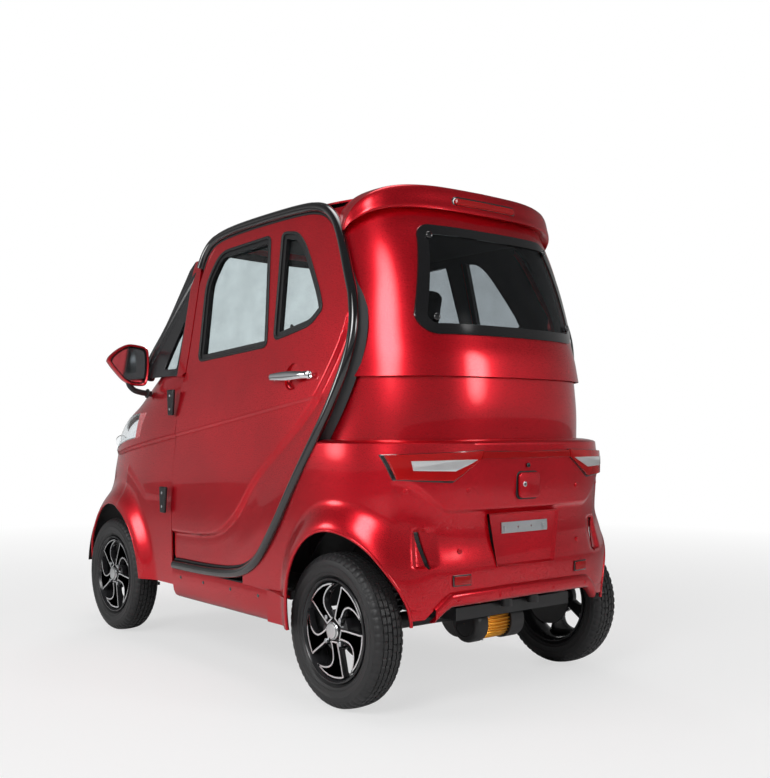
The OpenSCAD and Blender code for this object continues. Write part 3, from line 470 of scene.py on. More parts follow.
def glazing(name, tint, roughness=0.02):
    """Clear or smoked glass, with a faint film of dust."""
    glass = plain_finish(name, tint, roughness, grain=30.0, bump=0.01)
    shade = glass.node_tree.nodes["Principled BSDF"]
    shade.inputs["Transmission Weight"].default_value = 1.0
    shade.inputs["IOR"].default_value = 1.02
    shade.inputs["Coat Weight"].default_value = 0.3
    shade.inputs["Coat Roughness"].default_value = 0.02
    return glass


gloss_black = plain_finish("black_gloss_enamel", (0.006, 0.006, 0.007, 1), 0.12, Coat_Weight=1.0,
                           Coat_Roughness=0.03, bump=0.02)
dark_glass = glazing("smoked_glass", (0.36, 0.38, 0.4, 1))
border = pane_of_shell("rear_window_border", window_outline(0.0), window_outline(-0.034), 0.0045, 0.005)
done(border, gloss_black, "trim_black", "chassis", "rear_window")
pane = pane_of_shell("rear_window_pane", window_outline(-0.0345), None, 0.003, 0.0035)
done(pane, dark_glass, "dark_glass", "chassis")


def shell_back(x, z, out=0.0):
    """Place of the shell's skin behind a point seen from the rear."""
    width, reach, squareness = (reading(shell_rows, z, k) for k in (1, 2, 3))
    return tail_middle + (reach + out) * (1 - (abs(x) / (width + out)) ** squareness) ** (1 / squareness)


def button(name, at, radius, height, facing, dome=0.5):
    """A round knob: a disc with a bevelled rim, raised on a surface and facing outwards."""
    bpy.ops.object.select_all(action="DESELECT")
    bpy.ops.mesh.primitive_cylinder_add(vertices=32, radius=radius, depth=height, location=(0, 0, height / 2))
    piece = bpy.context.object
    piece.name = name
    applied(piece, "BEVEL", width=min(radius, height) * dome, segments=4, limit_method="ANGLE")
    turn = Vector(facing).to_track_quat("Z", "Y").to_matrix().to_4x4()
    piece.data.transform(Matrix.Translation(at) @ turn @ Matrix.Translation((0, 0, height / 2)))
    piece.matrix_world = Matrix()
    return smoothed(piece, 40)


def joined(name, *pieces):
    only(*pieces)
    bpy.ops.object.join()
    bpy.context.object.name = name
    return bpy.context.object


knobs = joined("rear_window_knobs", *[
    button("knob", (x, shell_back(x, z, 0.004), z), 0.0115, 0.011, (x * 1.4, 1, 0.12), 0.45)
    for x, z in ((0.262, 1.452), (-0.262, 1.452), (-0.296, 1.186), (0.296, 1.186))])
done(knobs, gloss_black, "trim_black", "chassis")

# Roof: a thin crowned panel of the same plastic, tucked under the tubes at both sides
# and under the visor at the rear.
# Columns: place along the vehicle, height at the middle, half width, drop of its side edges
roof_rows = [(-0.152, 1.583, 0.4, 0.006), (-0.06, 1.603, 0.412, 0.022), (0.1, 1.62, 0.42, 0.034),
             (0.3, 1.6265, 0.42, 0.038), (0.5, 1.6265, 0.418, 0.038), (0.65, 1.622, 0.41, 0.034),
             (0.79, 1.612, 0.4, 0.03)]


def roof_point(y, s):
    height, width, drop = (reading(roof_rows, y, k) for k in (1, 2, 3))
    return (width * s, y + 0.046 * s * s * max(0, -y) / 0.15, height - drop * abs(s) ** 3.2)


roof = draped("roof_skin",
              [[roof_point(y, s) for s in np.linspace(-1, 1, 61)] for y in np.linspace(-0.15, 0.79, 60)],
              outward=(0, 0, 1))
applied(roof, "SOLIDIFY", thickness=0.006, offset=-1)
smoothed(roof)
done(roof, body_paint, "body_red", "chassis", "roof_panel")

# Visor over the rear window: a hollow moulding with a tall rear face for the third brake lamp.
# Its ends run down beside the shell to the door tubes.
# Guides from the middle out to the tip: along the roof, the crest, the lip and the underside
visor_guides = [
    [(0, 0.735, 1.6175), (0.2, 0.733, 1.616), (0.32, 0.728, 1.606), (0.385, 0.718, 1.588), (0.42, 0.71, 1.55),
     (0.436, 0.718, 1.505), (0.4425, 0.733, 1.472)],
    [(0, 0.83, 1.628), (0.2, 0.824, 1.6265), (0.32, 0.805, 1.618), (0.39, 0.78, 1.597), (0.428, 0.758, 1.558),
     (0.443, 0.745, 1.51), (0.447, 0.74, 1.4715)],
    [(0, 0.915, 1.629), (0.2, 0.905, 1.6275), (0.325, 0.875, 1.618), (0.395, 0.84, 1.594),
     (0.434, 0.8, 1.556), (0.449, 0.77, 1.51), (0.4485, 0.7435, 1.471)],
    [(0, 0.934, 1.617), (0.2, 0.924, 1.6155), (0.332, 0.892, 1.606), (0.402, 0.852, 1.583),
     (0.439, 0.81, 1.549), (0.4515, 0.776, 1.508), (0.449, 0.746, 1.47)],
    [(0, 0.944, 1.575), (0.2, 0.934, 1.5745), (0.338, 0.9, 1.567), (0.407, 0.858, 1.55),
     (0.441, 0.815, 1.524), (0.4515, 0.779, 1.494), (0.449, 0.7475, 1.469)],
    [(0, 0.95, 1.552), (0.2, 0.94, 1.5515), (0.34, 0.904, 1.546), (0.409, 0.86, 1.53), (0.4415, 0.817, 1.508),
     (0.451, 0.779, 1.486), (0.4485, 0.748, 1.4682)],
    [(0, 0.944, 1.5475), (0.2, 0.934, 1.547), (0.336, 0.897, 1.541), (0.404, 0.852, 1.526),
     (0.4385, 0.811, 1.504), (0.4495, 0.775, 1.483), (0.448, 0.7465, 1.4675)],
    [(0, 0.89, 1.553), (0.2, 0.882, 1.552), (0.33, 0.845, 1.546), (0.392, 0.808, 1.53), (0.428, 0.776, 1.507),
     (0.441, 0.755, 1.487), (0.4445, 0.742, 1.469)]]
half_guides = [through(guide, 10) for guide in visor_guides]
visor_rows = list(zip(*[through([half[i] for half in half_guides], 5) for i in range(len(half_guides[0]))]))
visor = draped("rear_visor",
               [[*(p * np.array((-1, 1, 1)) for p in reversed(row[1:])), *row] for row in visor_rows],
               outward=(0, 0, 1))
applied(visor, "SOLIDIFY", thickness=0.004, offset=-1)
smoothed(visor, 50)
done(visor, body_paint, "body_red", "chassis", "spoiler")

# Third brake lamp: a long red lens with round ends in a dark seat,
# let into the visor's rear face.
def visor_face(x):
    """Place and height of the middle of the visor's rear face."""
    row = sorted((p[0], p[1], p[2]) for p in half_guides[4])
    return [np.interp(abs(x), [p[0] for p in row], [p[k] for p in row]) for k in (1, 2)]


def lozenge(length, height, steps=8):
    """Outline of a long bar with round ends."""
    r = height / 2
    return [(side * (length / 2 - r) + r * cos(a + (0 if side > 0 else pi)),
             r * sin(a + (0 if side > 0 else pi)))
            for side in (1, -1) for a in np.linspace(-pi / 2, pi / 2, steps)]


def lamp_bar(name, length, height, depth, out):
    bar = prism(name, lozenge(length, height), 0, depth)
    applied(bar, "BEVEL", width=0.0025, segments=3, limit_method="ANGLE", angle_limit=radians(50))
    bar.data.transform(Matrix.Rotation(radians(-4), 4, "X"))
    shape = bmesh.new()
    shape.from_mesh(bar.data)
    bmesh.ops.bisect_plane(shape, geom=shape.verts[:] + shape.edges[:] + shape.faces[:], plane_co=(0, 0, 0),
                           plane_no=(1, 0, 0))
    for k in (0.03, 0.06, 0.09, 0.12):
        for side in (-1, 1):
            bmesh.ops.bisect_plane(shape, geom=shape.verts[:] + shape.edges[:] + shape.faces[:],
                                   plane_co=(side * k, 0, 0), plane_no=(1, 0, 0))
    for v in shape.verts:
        y, z = visor_face(v.co.x)
        v.co.y += y - depth + out
        v.co.z += z + 0.005
    shape.to_mesh(bar.data)
    shape.free()
    return smoothed(bar, 40)


lamp_red = glazing("red_lamp_lens", (0.75, 0.01, 0.012, 1), 0.08)
lamp_red.node_tree.nodes["Principled BSDF"].inputs["Transmission Weight"].default_value = 0.55
lamp_red.node_tree.nodes["Principled BSDF"].inputs["IOR"].default_value = 1.3
done(lamp_bar("brake_lamp_seat", 0.29, 0.034, 0.012, 0.003), gloss_black, "trim_black", "chassis")
done(lamp_bar("brake_lamp_lens", 0.276, 0.022, 0.016, 0.009), lamp_red, "lamp_red", "chassis", "brake_lamp")

# Belt band: the set-back ring of red plastic between the shell and the lower body.
# It follows the shell's plan, a little smaller, and is screwed on from inside.
band_rows = [(0.8, 0.512, 0.512, 2.8), (0.902, 0.508, 0.516, 2.8), (1.012, 0.507, 0.508, 2.75)]


def band_row(z, out=0.0):
    width, reach, squareness = (reading(band_rows, z, k) for k in (1, 2, 3))
    start = np.interp(z, [p[0] for p in tube_rear], [p[1] for p in tube_rear]) + 0.004
    return [(x, y, z) for x, y in plan(width + out, reach + out, squareness, tail_middle, start, around)]


band = draped("belt_band_skin", [band_row(z) for z in np.linspace(0.801, 1.012, 24)])
applied(band, "SOLIDIFY", thickness=0.006, offset=-1)
smoothed(band)
done(band, body_paint, "body_red", "chassis", "belt_band")

# Rear lower body: the largest moulding, with a shoulder under the band, flared wheel arches,
# a pocket for the number plate and two vents. It is screwed to the sills and the frame.
# Columns: height, half width, reach, squareness, front edge, rise of the lower edge at the middle
clip_rows = [(0.8, 0.552, 0.542, 3.4), (0.74, 0.556, 0.541, 3.5), (0.66, 0.557, 0.538, 3.5),
             (0.58, 0.557, 0.53, 3.5),
             (0.5, 0.556, 0.527, 3.6), (0.43, 0.555, 0.533, 3.8), (0.37, 0.553, 0.531, 3.9),
             (0.3, 0.549, 0.526, 4.0),
             (0.214, 0.546, 0.522, 4.0)]
arch_centre = {"front": (-0.705, 0.245), "rear": (0.85, 0.285)}
arch_radius = {"front": 0.29, "rear": 0.255}
arch_share = {"front": 1.0, "rear": 0.84}
flare_out, flare_reach = 0.034, 0.095


def swell(t):
    """A smooth step from nought to one."""
    t = min(1, max(0, t))
    return t * t * (3 - 2 * t)


def flare(y, z, wheel):
    centre, radius = arch_centre[wheel], arch_radius[wheel]
    away = np.hypot((y - centre[0]) / arch_share[wheel], z - centre[1]) - radius
    return flare_out * swell(1 - away / flare_reach)


def tail_relief(x, z):
    """How far the tail's face is set in: below the lamps, and round the vents."""
    crease = 0.604 + 0.09 * swell((x - 0.3) / 0.15)
    under = 0.011 * swell((crease - z) / 0.013) * (1 - 0.75 * swell((crease - 0.05 - z) / 0.16))
    beside = swell((x - 0.335) / 0.05) * (1 - swell((x - 0.396) / 0.02))
    vent = 0.012 * beside * swell((z - 0.434) / 0.008) * (1 - swell((z - 0.542) / 0.008))
    return under * swell((0.47 - x) / 0.03) + vent


def clip_point(x, y, z):
    side = min(1, max(0, (abs(x) - 0.3) / 0.18))
    lift = flare(y, z, "rear") * side
    back = tail_relief(abs(x), z) * swell((y - 0.98) / 0.03)
    return (x + np.sign(x) * lift, y + lift * 0.35 * (1 - side) - back, z)


tube_low = [(p[0], p[1]) for p in tube_line if p[0] > 0.2 and p[1] < 0.9]
sill_rear = 0.48
clip_columns = 150


def clip_row(z):
    width, reach, squareness = (reading(clip_rows, z, k) for k in (1, 2, 3))
    start = np.interp(z, [p[1] for p in tube_low], [p[0] for p in tube_low]) + 0.004
    start = sill_rear if z < 0.316 else max(start, 0.33)
    return [clip_point(x, y, z) for x, y in plan(width, reach, squareness, tail_middle, start, clip_columns)]


shoulder = [(0.812, -0.026, 2.85), (0.8115, -0.018, 2.95), (0.8085, -0.008, 3.1), (0.8045, -0.0022, 3.3)]
shoulder_rows = [[(x, y, z) for x,
                  y in plan(0.552 + out * 1.3, 0.542 + out, squareness, tail_middle, 0.762, clip_columns)]
                 for z, out, squareness in shoulder]
clip = draped("rear_body_skin", shoulder_rows + [clip_row(z) for z in np.linspace(0.8, 0.214, 112)],
              outward=None)
applied(clip, "SOLIDIFY", thickness=0.005, offset=-1)


def disc(centre, radius, steps=96):
    return [(centre[0] + radius * cos(2 * pi * k / steps), centre[1] + radius * sin(2 * pi * k / steps))
            for k in range(steps)]


def arch_outline(wheel, first, last, steps=96, grow=0.0):
    """Points round a wheel arch between two angles in degrees."""
    centre, radius = arch_centre[wheel], arch_radius[wheel]
    return [(centre[0] + (radius * arch_share[wheel] + grow) * cos(radians(a)),
             centre[1] + (radius + grow) * sin(radians(a)))
            for a in np.linspace(first, last, steps, endpoint=last - first < 360)]


for side in (-1, 1):
    cut(clip, prism("arch_hole", arch_outline("rear", 0, 360), side * 0.33, side * 0.75, "x"))
lower_edge = [(-0.7, 0.1), (0.7, 0.1), (0.7, 0.276), (0.46, 0.284), (0.39, 0.287), (0.357, 0.316),
              (0.305, 0.354), (0, 0.36),
              (-0.305, 0.354), (-0.357, 0.316), (-0.39, 0.287), (-0.46, 0.284), (-0.7, 0.276)]
cut(clip, prism("lower_edge", lower_edge, 0.75, 1.3))
pocket = [(-0.128, 0.422), (0.128, 0.422), (0.158, 0.585), (-0.158, 0.585)]
cut(clip, prism("pocket_hole", pocket, 1.0, 1.3))
for side in (-1, 1):
    slot = [(side * 0.404, 0.54), (side * 0.386, 0.54), (side * 0.366, 0.436), (side * 0.378, 0.43)]
    cut(clip, prism("vent_hole", slot, 0.9, 1.3))
smoothed(clip, 35)
# The pocket's tray: a sloped wall round a flat floor
tray_y, tray_depth = 1.131, 0.02
tray = prism("pocket_tray", pocket, tray_y - tray_depth, tray_y)
shape = bmesh.new()
shape.from_mesh(tray.data)
bmesh.ops.delete(shape, geom=[f for f in shape.faces if f.normal.y > 0.9], context="FACES_ONLY")
for v in shape.verts:
    if v.co.y < tray_y - tray_depth / 2:
        v.co.x *= 0.94
        v.co.z = 0.5035 + (v.co.z - 0.5035) * 0.93
    else:
        v.co.y = 1.124 - 0.03 * v.co.x ** 2 - (0.005 if v.co.z > 0.5 else 0)
bmesh.ops.reverse_faces(shape, faces=shape.faces)
shape.to_mesh(tray.data)
shape.free()
applied(tray, "SOLIDIFY", thickness=0.003, offset=-1)
applied(tray, "BEVEL", width=0.003, segments=3, limit_method="ANGLE", angle_limit=radians(25))
smoothed(tray)


def hose(name, points, radius, closed=False, sides=12):
    """A round bar along a smooth path, as a mesh."""
    bpy.ops.object.select_all(action="DESELECT")
    path = bpy.data.curves.new(name, "CURVE")
    path.dimensions = "3D"
    path.bevel_depth = radius
    path.bevel_resolution = sides // 4
    path.use_fill_caps = True
    spline = path.splines.new("POLY")
    spline.points.add(len(points) - 1)
    for place, p in zip(spline.points, points):
        place.co = (*p, 1)
    spline.use_cyclic_u = closed
    piece = bpy.data.objects.new(name, path)
    bpy.context.collection.objects.link(piece)
    only(piece)
    bpy.ops.object.convert(target="MESH")
    return smoothed(bpy.context.object, 50)


def clip_side(y, z):
    """Half width of the rear body's skin at a place on its side."""
    width, reach, squareness = (reading(clip_rows, z, k) for k in (1, 2, 3))
    along = min(max(0, (y - tail_middle) / reach), 0.995)
    x = width * (1 - along ** squareness) ** (1 / squareness)
    side = min(1, max(0, (x - 0.3) / 0.18))
    return x + flare(y, z, "rear") * side


def arch_lip(wheel, first, last, half_width):
    """The rolled edge of a wheel arch."""
    return [(half_width(y, z) - 0.004, y, z) for y, z in arch_outline(wheel, first, last, 73, 0.001)]


lips = [hose("arch_lip", [(side * x, y, z) for x, y, z in arch_lip("rear", -4, 196, clip_side)], 0.0055)
        for side in (-1, 1)]
rear_body = joined("rear_lower_body", clip, tray, *lips)
done(rear_body, body_paint, "body_red", "chassis", "rear_clip")

# Tail lamps: red lenses that wrap the corners, joined by a thin light bar under the shoulder.
# Each sits in a black seat and holds a clear strip.
lamp_half = [(0.1965, 0.778), (0.206, 0.753), (0.305, 0.69), (0.46, 0.695), (0.484, 0.768), (0.2, 0.7782)]
bar_half = [(0, 0.774), (0, 0.754), (0.2025, 0.754), (0.1945, 0.7765), (0.12, 0.775)]
strip_half = [(0.222, 0.752), (0.238, 0.744), (0.302, 0.719), (0.425, 0.722), (0.43, 0.75), (0.3, 0.752)]


def on_tail(name, outline, out, thickness, bevel=0.002, low=0.66, high=0.797):
    """A plate that follows the tail's skin, cut to an outline seen from behind."""
    rows = [[(x, y + swell((y - 0.9) / 0.1) * out, z) for x, y, z in
             [(x * (1 + out / 0.55), y, z) for x, y, z in clip_row(z)] if y > 0.82]
             for z in np.linspace(low, high, 22)]
    count = min(len(row) for row in rows)
    rows = [row[(len(row) - count) // 2:(len(row) - count) // 2 + count] for row in rows]
    sheet = draped(name, rows)
    applied(sheet, "SOLIDIFY", thickness=thickness, offset=-1)
    cut(sheet, prism(name + "_edge", outline, 0.8, 1.3), operation="INTERSECT")
    applied(sheet, "BEVEL", width=bevel, segments=3, limit_method="ANGLE", angle_limit=radians(55))
    return smoothed(sheet, 40)


def grown(outline, by):
    """An outline grown from its middle by a width."""
    middle = np.mean(np.array(outline), axis=0)
    return [tuple(middle + (np.array(p) - middle) * (1 + by / np.linalg.norm(np.array(p) - middle)))
            for p in outline]


def mirrored(outline, side):
    return [(side * x, z) for x, z in outline]


lamp_clear = glazing("clear_lamp_lens", (0.92, 0.94, 0.95, 1), 0.05)
lamp_clear.node_tree.nodes["Principled BSDF"].inputs["Transmission Weight"].default_value = 0.2
lamp_clear.node_tree.nodes["Principled BSDF"].inputs["Metallic"].default_value = 0.5
lamp_names = ["tail_lamps"]
for side, hand in ((1, "left"), (-1, "right")):
    done(on_tail(f"tail_lamp_{hand}_seat", mirrored(grown(lamp_half, 0.006), side), 0.0025, 0.006),
         gloss_black,
         "trim_black", "chassis")
    done(on_tail(f"tail_lamp_{hand}_lens", mirrored(lamp_half, side), 0.0085, 0.006, 0.003), lamp_red,
         "lamp_red", "chassis", *lamp_names)
    lamp_names = []
    done(on_tail(f"tail_lamp_{hand}_strip", mirrored(strip_half, side), 0.0105, 0.003), lamp_clear,
         "lamp_clear", "chassis")
    done(on_tail(f"light_bar_{hand}_seat", mirrored(grown(bar_half, 0.004), side), 0.0025, 0.006),
         gloss_black,
         "trim_black", "chassis")
    done(on_tail(f"light_bar_{hand}", mirrored(bar_half, side), 0.007, 0.005, 0.003), lamp_red, "lamp_red",
         "chassis")

# Charging socket and its cover: a round socket in the tail, under a square lid with round corners
# that lifts on a pin along its upper edge. A lock is let into the lid.
def slab(name, width, height, depth, corner, edge, centre):
    """A plate that stands up, with round corners and softened edges."""
    bpy.ops.object.select_all(action="DESELECT")
    bpy.ops.mesh.primitive_cube_add(size=1)
    piece = bpy.context.object
    piece.name = name
    piece.data.transform(Matrix.Diagonal((width, depth, height, 1)))
    shape = bmesh.new()
    shape.from_mesh(piece.data)
    corners = [e for e in shape.edges if abs(e.verts[0].co.y - e.verts[1].co.y) > depth / 2]
    bmesh.ops.bevel(shape, geom=corners, offset=corner, segments=8, profile=0.5, affect="EDGES")
    shape.to_mesh(piece.data)
    shape.free()
    applied(piece, "BEVEL", width=edge, segments=3, limit_method="ANGLE", angle_limit=radians(60))
    piece.data.transform(Matrix.Translation(centre))
    return smoothed(piece, 40)


lid_low, lid_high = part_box("charge_lid")
lid_middle = ((lid_low.x + lid_high.x) / 2, (lid_low.y + lid_high.y) / 2,
              (lid_low.z + lid_high.z) / 2 - 0.002)
lid = slab("charge_lid_cover", 0.092, 0.08, 0.009, 0.015, 0.003, lid_middle)
done(lid, body_paint, "body_red", "charge_lid", "charge_lid")
chrome = plain_finish("polished_chrome", (0.82, 0.83, 0.85, 1), 0.08, Metallic=1.0, bump=0.02)
zinc = plain_finish("zinc_plate", (0.62, 0.64, 0.66, 1), 0.34, Metallic=1.0, grain=300.0, bump=0.12)
lock = button("lid_lock", (0.026, lid_middle[1] + 0.0042, lid_middle[2] + 0.004), 0.0085, 0.004, (0, 1, 0),
              0.3)
done(lock, chrome, "chrome", "charge_lid")
done(slab("lid_lock_slot", 0.0016, 0.009, 0.001, 0.0007, 0.0002,
          (0.026, lid_middle[1] + 0.0084, lid_middle[2] + 0.004)), gloss_black, "trim_black", "charge_lid")
satin_black = plain_finish("satin_black_plastic", (0.012, 0.012, 0.013, 1), 0.42)
done(slab("charge_lid_gasket", 0.101, 0.089, 0.006, 0.019, 0.002, (0, 1.1262, lid_middle[2])), satin_black,
     "trim_black", "chassis")
done(button("tail_keyhole", (0, 1.1295, 0.731), 0.0075, 0.005, (0, 1, 0), 0.3), gloss_black, "trim_black",
     "chassis")

# Plate bracket, reflectors and screws on the tail: a zinc strip on two bosses, two red reflectors
# in black frames, and painted screws that hold the tail to the frame.
def tail_y(x, z):
    """Place of the tail's skin at a point seen from behind."""
    width, reach, squareness = (reading(clip_rows, z, k) for k in (1, 2, 3))
    y = tail_middle + reach * (1 - (abs(x) / width) ** squareness) ** (1 / squareness)
    return clip_point(abs(x), y, z)[1]


for side in (1, -1):
    hand = "left" if side > 0 else "right"
    turn = Matrix.Rotation(radians(-side * 7.5), 4, "Z")
    for name, size, finish, kind, out in (("frame", (0.066, 0.034, 0.006), gloss_black, "trim_black", 0.001),
                                          ("lens", (0.058, 0.026, 0.007), lamp_red, "lamp_red", 0.0035)):
        piece = slab(f"reflector_{hand}_{name}", *size, 0.002, 0.0012, (0, 0, 0))
        piece.data.transform(Matrix.Translation((side * 0.268, tail_y(0.268, 0.394) + out, 0.394)) @ turn)
        done(piece, finish, kind, "chassis", *(["reflectors"] if name == "lens" and side > 0 else []))
screw_places = [(0.245, 0.66), (0.267, 0.479), (0.43, 0.66)]
screws = joined("tail_screws",
                *[button("screw", (side * x, tail_y(x, z) - 0.001, z), 0.0085, 0.005, (side * x * 0.5, 1, 0),
                         0.45)
                                 for x, z in screw_places for side in (-1, 1)])
done(screws, body_paint, "body_red", "chassis")
plate_bolts = joined("plate_bolts", *[button("bolt", (x, 1.1152, 0.539), 0.0062, 0.004, (0, 1, 0), 0.25)
                                      for x in (-0.088, 0.088)])
done(plate_bolts, zinc, "zinc_steel", "chassis")
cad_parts["plate_bracket"].data.materials.clear()
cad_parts["plate_bracket"].data.materials.append(zinc)

# Vents: two black plastic inserts with ribs,
# clipped behind the slots at the outer ends of the tail.
def vent_outline(side, grow):
    return grown([(side * 0.404, 0.54), (side * 0.386, 0.54), (side * 0.366, 0.436), (side * 0.378, 0.43)],
                 grow)


for side, hand in ((1, "left"), (-1, "right")):
    vent = on_tail(f"vent_{hand}", vent_outline(side, 0.012), -0.006, 0.004, 0.001, 0.41, 0.56)
    done(vent, gloss_black, "trim_black", "chassis")

# Lower flange of the tail: the red moulding's rolled lower edge,
# swept along its path and bolted to the valance beam.
flange_path = through([(-0.362, 0.315), (-0.35, 0.325), (-0.318, 0.349), (-0.28, 0.357), (-0.1, 0.36),
                       (0.1, 0.36),
                       (0.28, 0.357), (0.318, 0.349), (0.35, 0.325), (0.362, 0.315)], 8)
flange_profile = [(-0.006, 0.006), (0.005, 0.004), (0.011, -0.001), (0.0135, -0.008), (0.012, -0.028),
                  (0.008, -0.036),
                  (-0.002, -0.04), (-0.016, -0.041)]
flange = draped("tail_flange",
                [[(x, tail_y(x, max(z, 0.25)) + out, z + up) for x, z in flange_path] for out,
                 up in flange_profile],
                outward=(0, 1, 0))
applied(flange, "SOLIDIFY", thickness=0.004, offset=-1)
smoothed(flange, 50)
done(flange, body_paint, "body_red", "chassis", "rear_valance")
flange_bolts = joined("flange_bolts",
                      *[button("bolt", (side * x, tail_y(x, 0.35) + 0.0118, 0.337), 0.006, 0.004, (0, 1, 0),
                               0.4)
                                        for x in (0.285, 0.12) for side in (-1, 1)])
done(flange_bolts, body_paint, "body_red", "chassis")

# Door tubes: one bent steel tube in black gloss round each door opening,
# swept along the opening's line, with a rubber seal inside it.
# Columns: height, half width of the body's side at the doors
side_rows = [(0.19, 0.526), (0.345, 0.546), (0.47, 0.556), (0.6, 0.557), (0.72, 0.553), (0.8, 0.546),
             (0.9, 0.534),
             (1.0, 0.52), (1.13, 0.497), (1.3, 0.47), (1.45, 0.447), (1.53, 0.434), (1.58, 0.424),
             (1.64, 0.41)]


def side_x(z):
    return reading(side_rows, z)


def moved(path, by):
    """A flat path moved sideways, to its left."""
    points = np.array(path)
    along = np.gradient(points, axis=0)
    along /= np.linalg.norm(along, axis=1)[:, None]
    return points + by * np.column_stack([-along[:, 1], along[:, 0]])


seal_rubber = plain_finish("seal_rubber", (0.011, 0.011, 0.012, 1), 0.55, grain=1600.0)
for side, hand in ((1, "left"), (-1, "right")):
    tube = hose(f"door_tube_{hand}", [(side * (side_x(z) + 0.003), y, z) for y, z in tube_line], 0.0165,
                sides=20)
    done(tube, gloss_black, "tube_black", "chassis", *(["door_tubes"] if side > 0 else []))
    seal = hose(f"door_seal_{hand}",
                [(side * (side_x(z) - 0.004), y, z) for y, z in moved(tube_line, 0.0205)], 0.0052)
    done(seal, seal_rubber, "trim_black", "chassis")

# Doors: a thick moulded panel with two windows, a long shoulder line and a deep curved crease.
# The part behind the crease is set in. Glass, seals and the chrome handle ride on it.
crease_line = through([(-0.26, 0.462), (-0.1, 0.463), (0.02, 0.467), (0.11, 0.476), (0.18, 0.494),
                       (0.25, 0.535), (0.3, 0.575),
                       (0.403, 0.686), (0.583, 0.825), (0.706, 0.944), (0.775, 1.05), (0.815, 1.14),
                       (0.83, 1.2)], 30)
crease_points = np.array(crease_line)
shoulder_line = [(-0.75, 0.748), (-0.216, 0.821), (0.21, 0.879), (0.706, 0.948), (0.9, 0.975)]


def behind_crease(y, z):
    """Distance behind or under the door's curved crease, negative in front of it."""
    gaps = np.hypot(crease_points[:, 0] - y, crease_points[:, 1] - z)
    i = int(min(max(np.argmin(gaps), 1), len(crease_points) - 2))
    along = crease_points[i + 1] - crease_points[i - 1]
    cross = along[0] * (z - crease_points[i][1]) - along[1] * (y - crease_points[i][0])
    return -np.sign(cross) * gaps[i]


def door_relief(y, z):
    """How far the door's skin is set in."""
    under = np.interp(y, [p[0] for p in shoulder_line], [p[1] for p in shoulder_line]) - z
    fold = 0.0065 * swell(under / 0.012) * (1 - 0.6 * swell((under - 0.02) / 0.2))
    back = behind_crease(y, z)
    set_in = 0.013 * swell(back / 0.014) * (1 - 0.45 * swell((back - 0.03) / 0.12))
    return fold * swell((0.05 - back) / 0.05) + set_in


door_front = -0.18
door_edge = [tuple(p) for p in moved(tube_line, 0.025) if p[0] > door_front + 0.02]
door_outline = door_edge + [(-0.158, 1.4), (-0.158, 1.052), (-0.162, 1.04), (-0.18, 1.0), (door_front, 0.368),
                            (-0.17, 0.358)]
front_window = [(-0.076, 1.096), (-0.104, 1.374), (-0.092, 1.42), (-0.027, 1.513), (0.318, 1.525),
                (0.392, 1.124)]
quarter_window = [(0.43, 1.142), (0.391, 1.526), (0.519, 1.507), (0.664, 1.293), (0.695, 1.228),
                  (0.634, 1.178)]


def softened(outline, radius, steps=6, radii=None):
    """An outline with round corners."""
    found = []
    for i, corner in enumerate(outline):
        r = (radii or {}).get(i, radius)
        here = np.array(corner, float)
        to_last, to_next = (np.array(outline[j % len(outline)], float) - here for j in (i - 1, i + 1))
        a, b = (here + v / np.linalg.norm(v) * min(r, 0.45 * np.linalg.norm(v)) for v in (to_last, to_next))
        for k in range(steps + 1):
            t = k / steps
            found.append(tuple((1 - t) ** 2 * a + 2 * t * (1 - t) * here + t * t * b))
    return found


def shrunk(outline, by):
    """A closed outline moved inwards by a width."""
    points = np.array(outline)
    along = np.roll(points, -1, axis=0) - np.roll(points, 1, axis=0)
    along /= np.maximum(np.linalg.norm(along, axis=1)[:, None], 1e-9)
    area = np.sum(points[:, 0] * np.roll(points[:, 1], -1) - points[:, 1] * np.roll(points[:, 0], -1))
    return [tuple(p) for p in points + np.sign(area) * by * np.column_stack([-along[:, 1], along[:, 0]])]


window_shapes = {"front": softened(front_window, 0.03, radii={1: 0.05, 2: 0.04, 3: 0.06}),
                 "quarter": softened(quarter_window, 0.03, radii={1: 0.03, 2: 0.11, 3: 0.09, 4: 0.02})}


def side_sheet(name, side, depth, thickness, y0, y1, z0, z1, relief=None, columns=60, rows=60):
    """A sheet that follows the body's side at a depth under its skin."""
    grid = [[(side * (side_x(z) - depth - (relief(y, z) if relief else 0)), y, z)
             for y in np.linspace(y0, y1, columns)]
            for z in np.linspace(z0, z1, rows)]
    sheet = draped(name, grid, outward=(side, 0, 0))
    return applied(sheet, "SOLIDIFY", thickness=thickness, offset=-1)


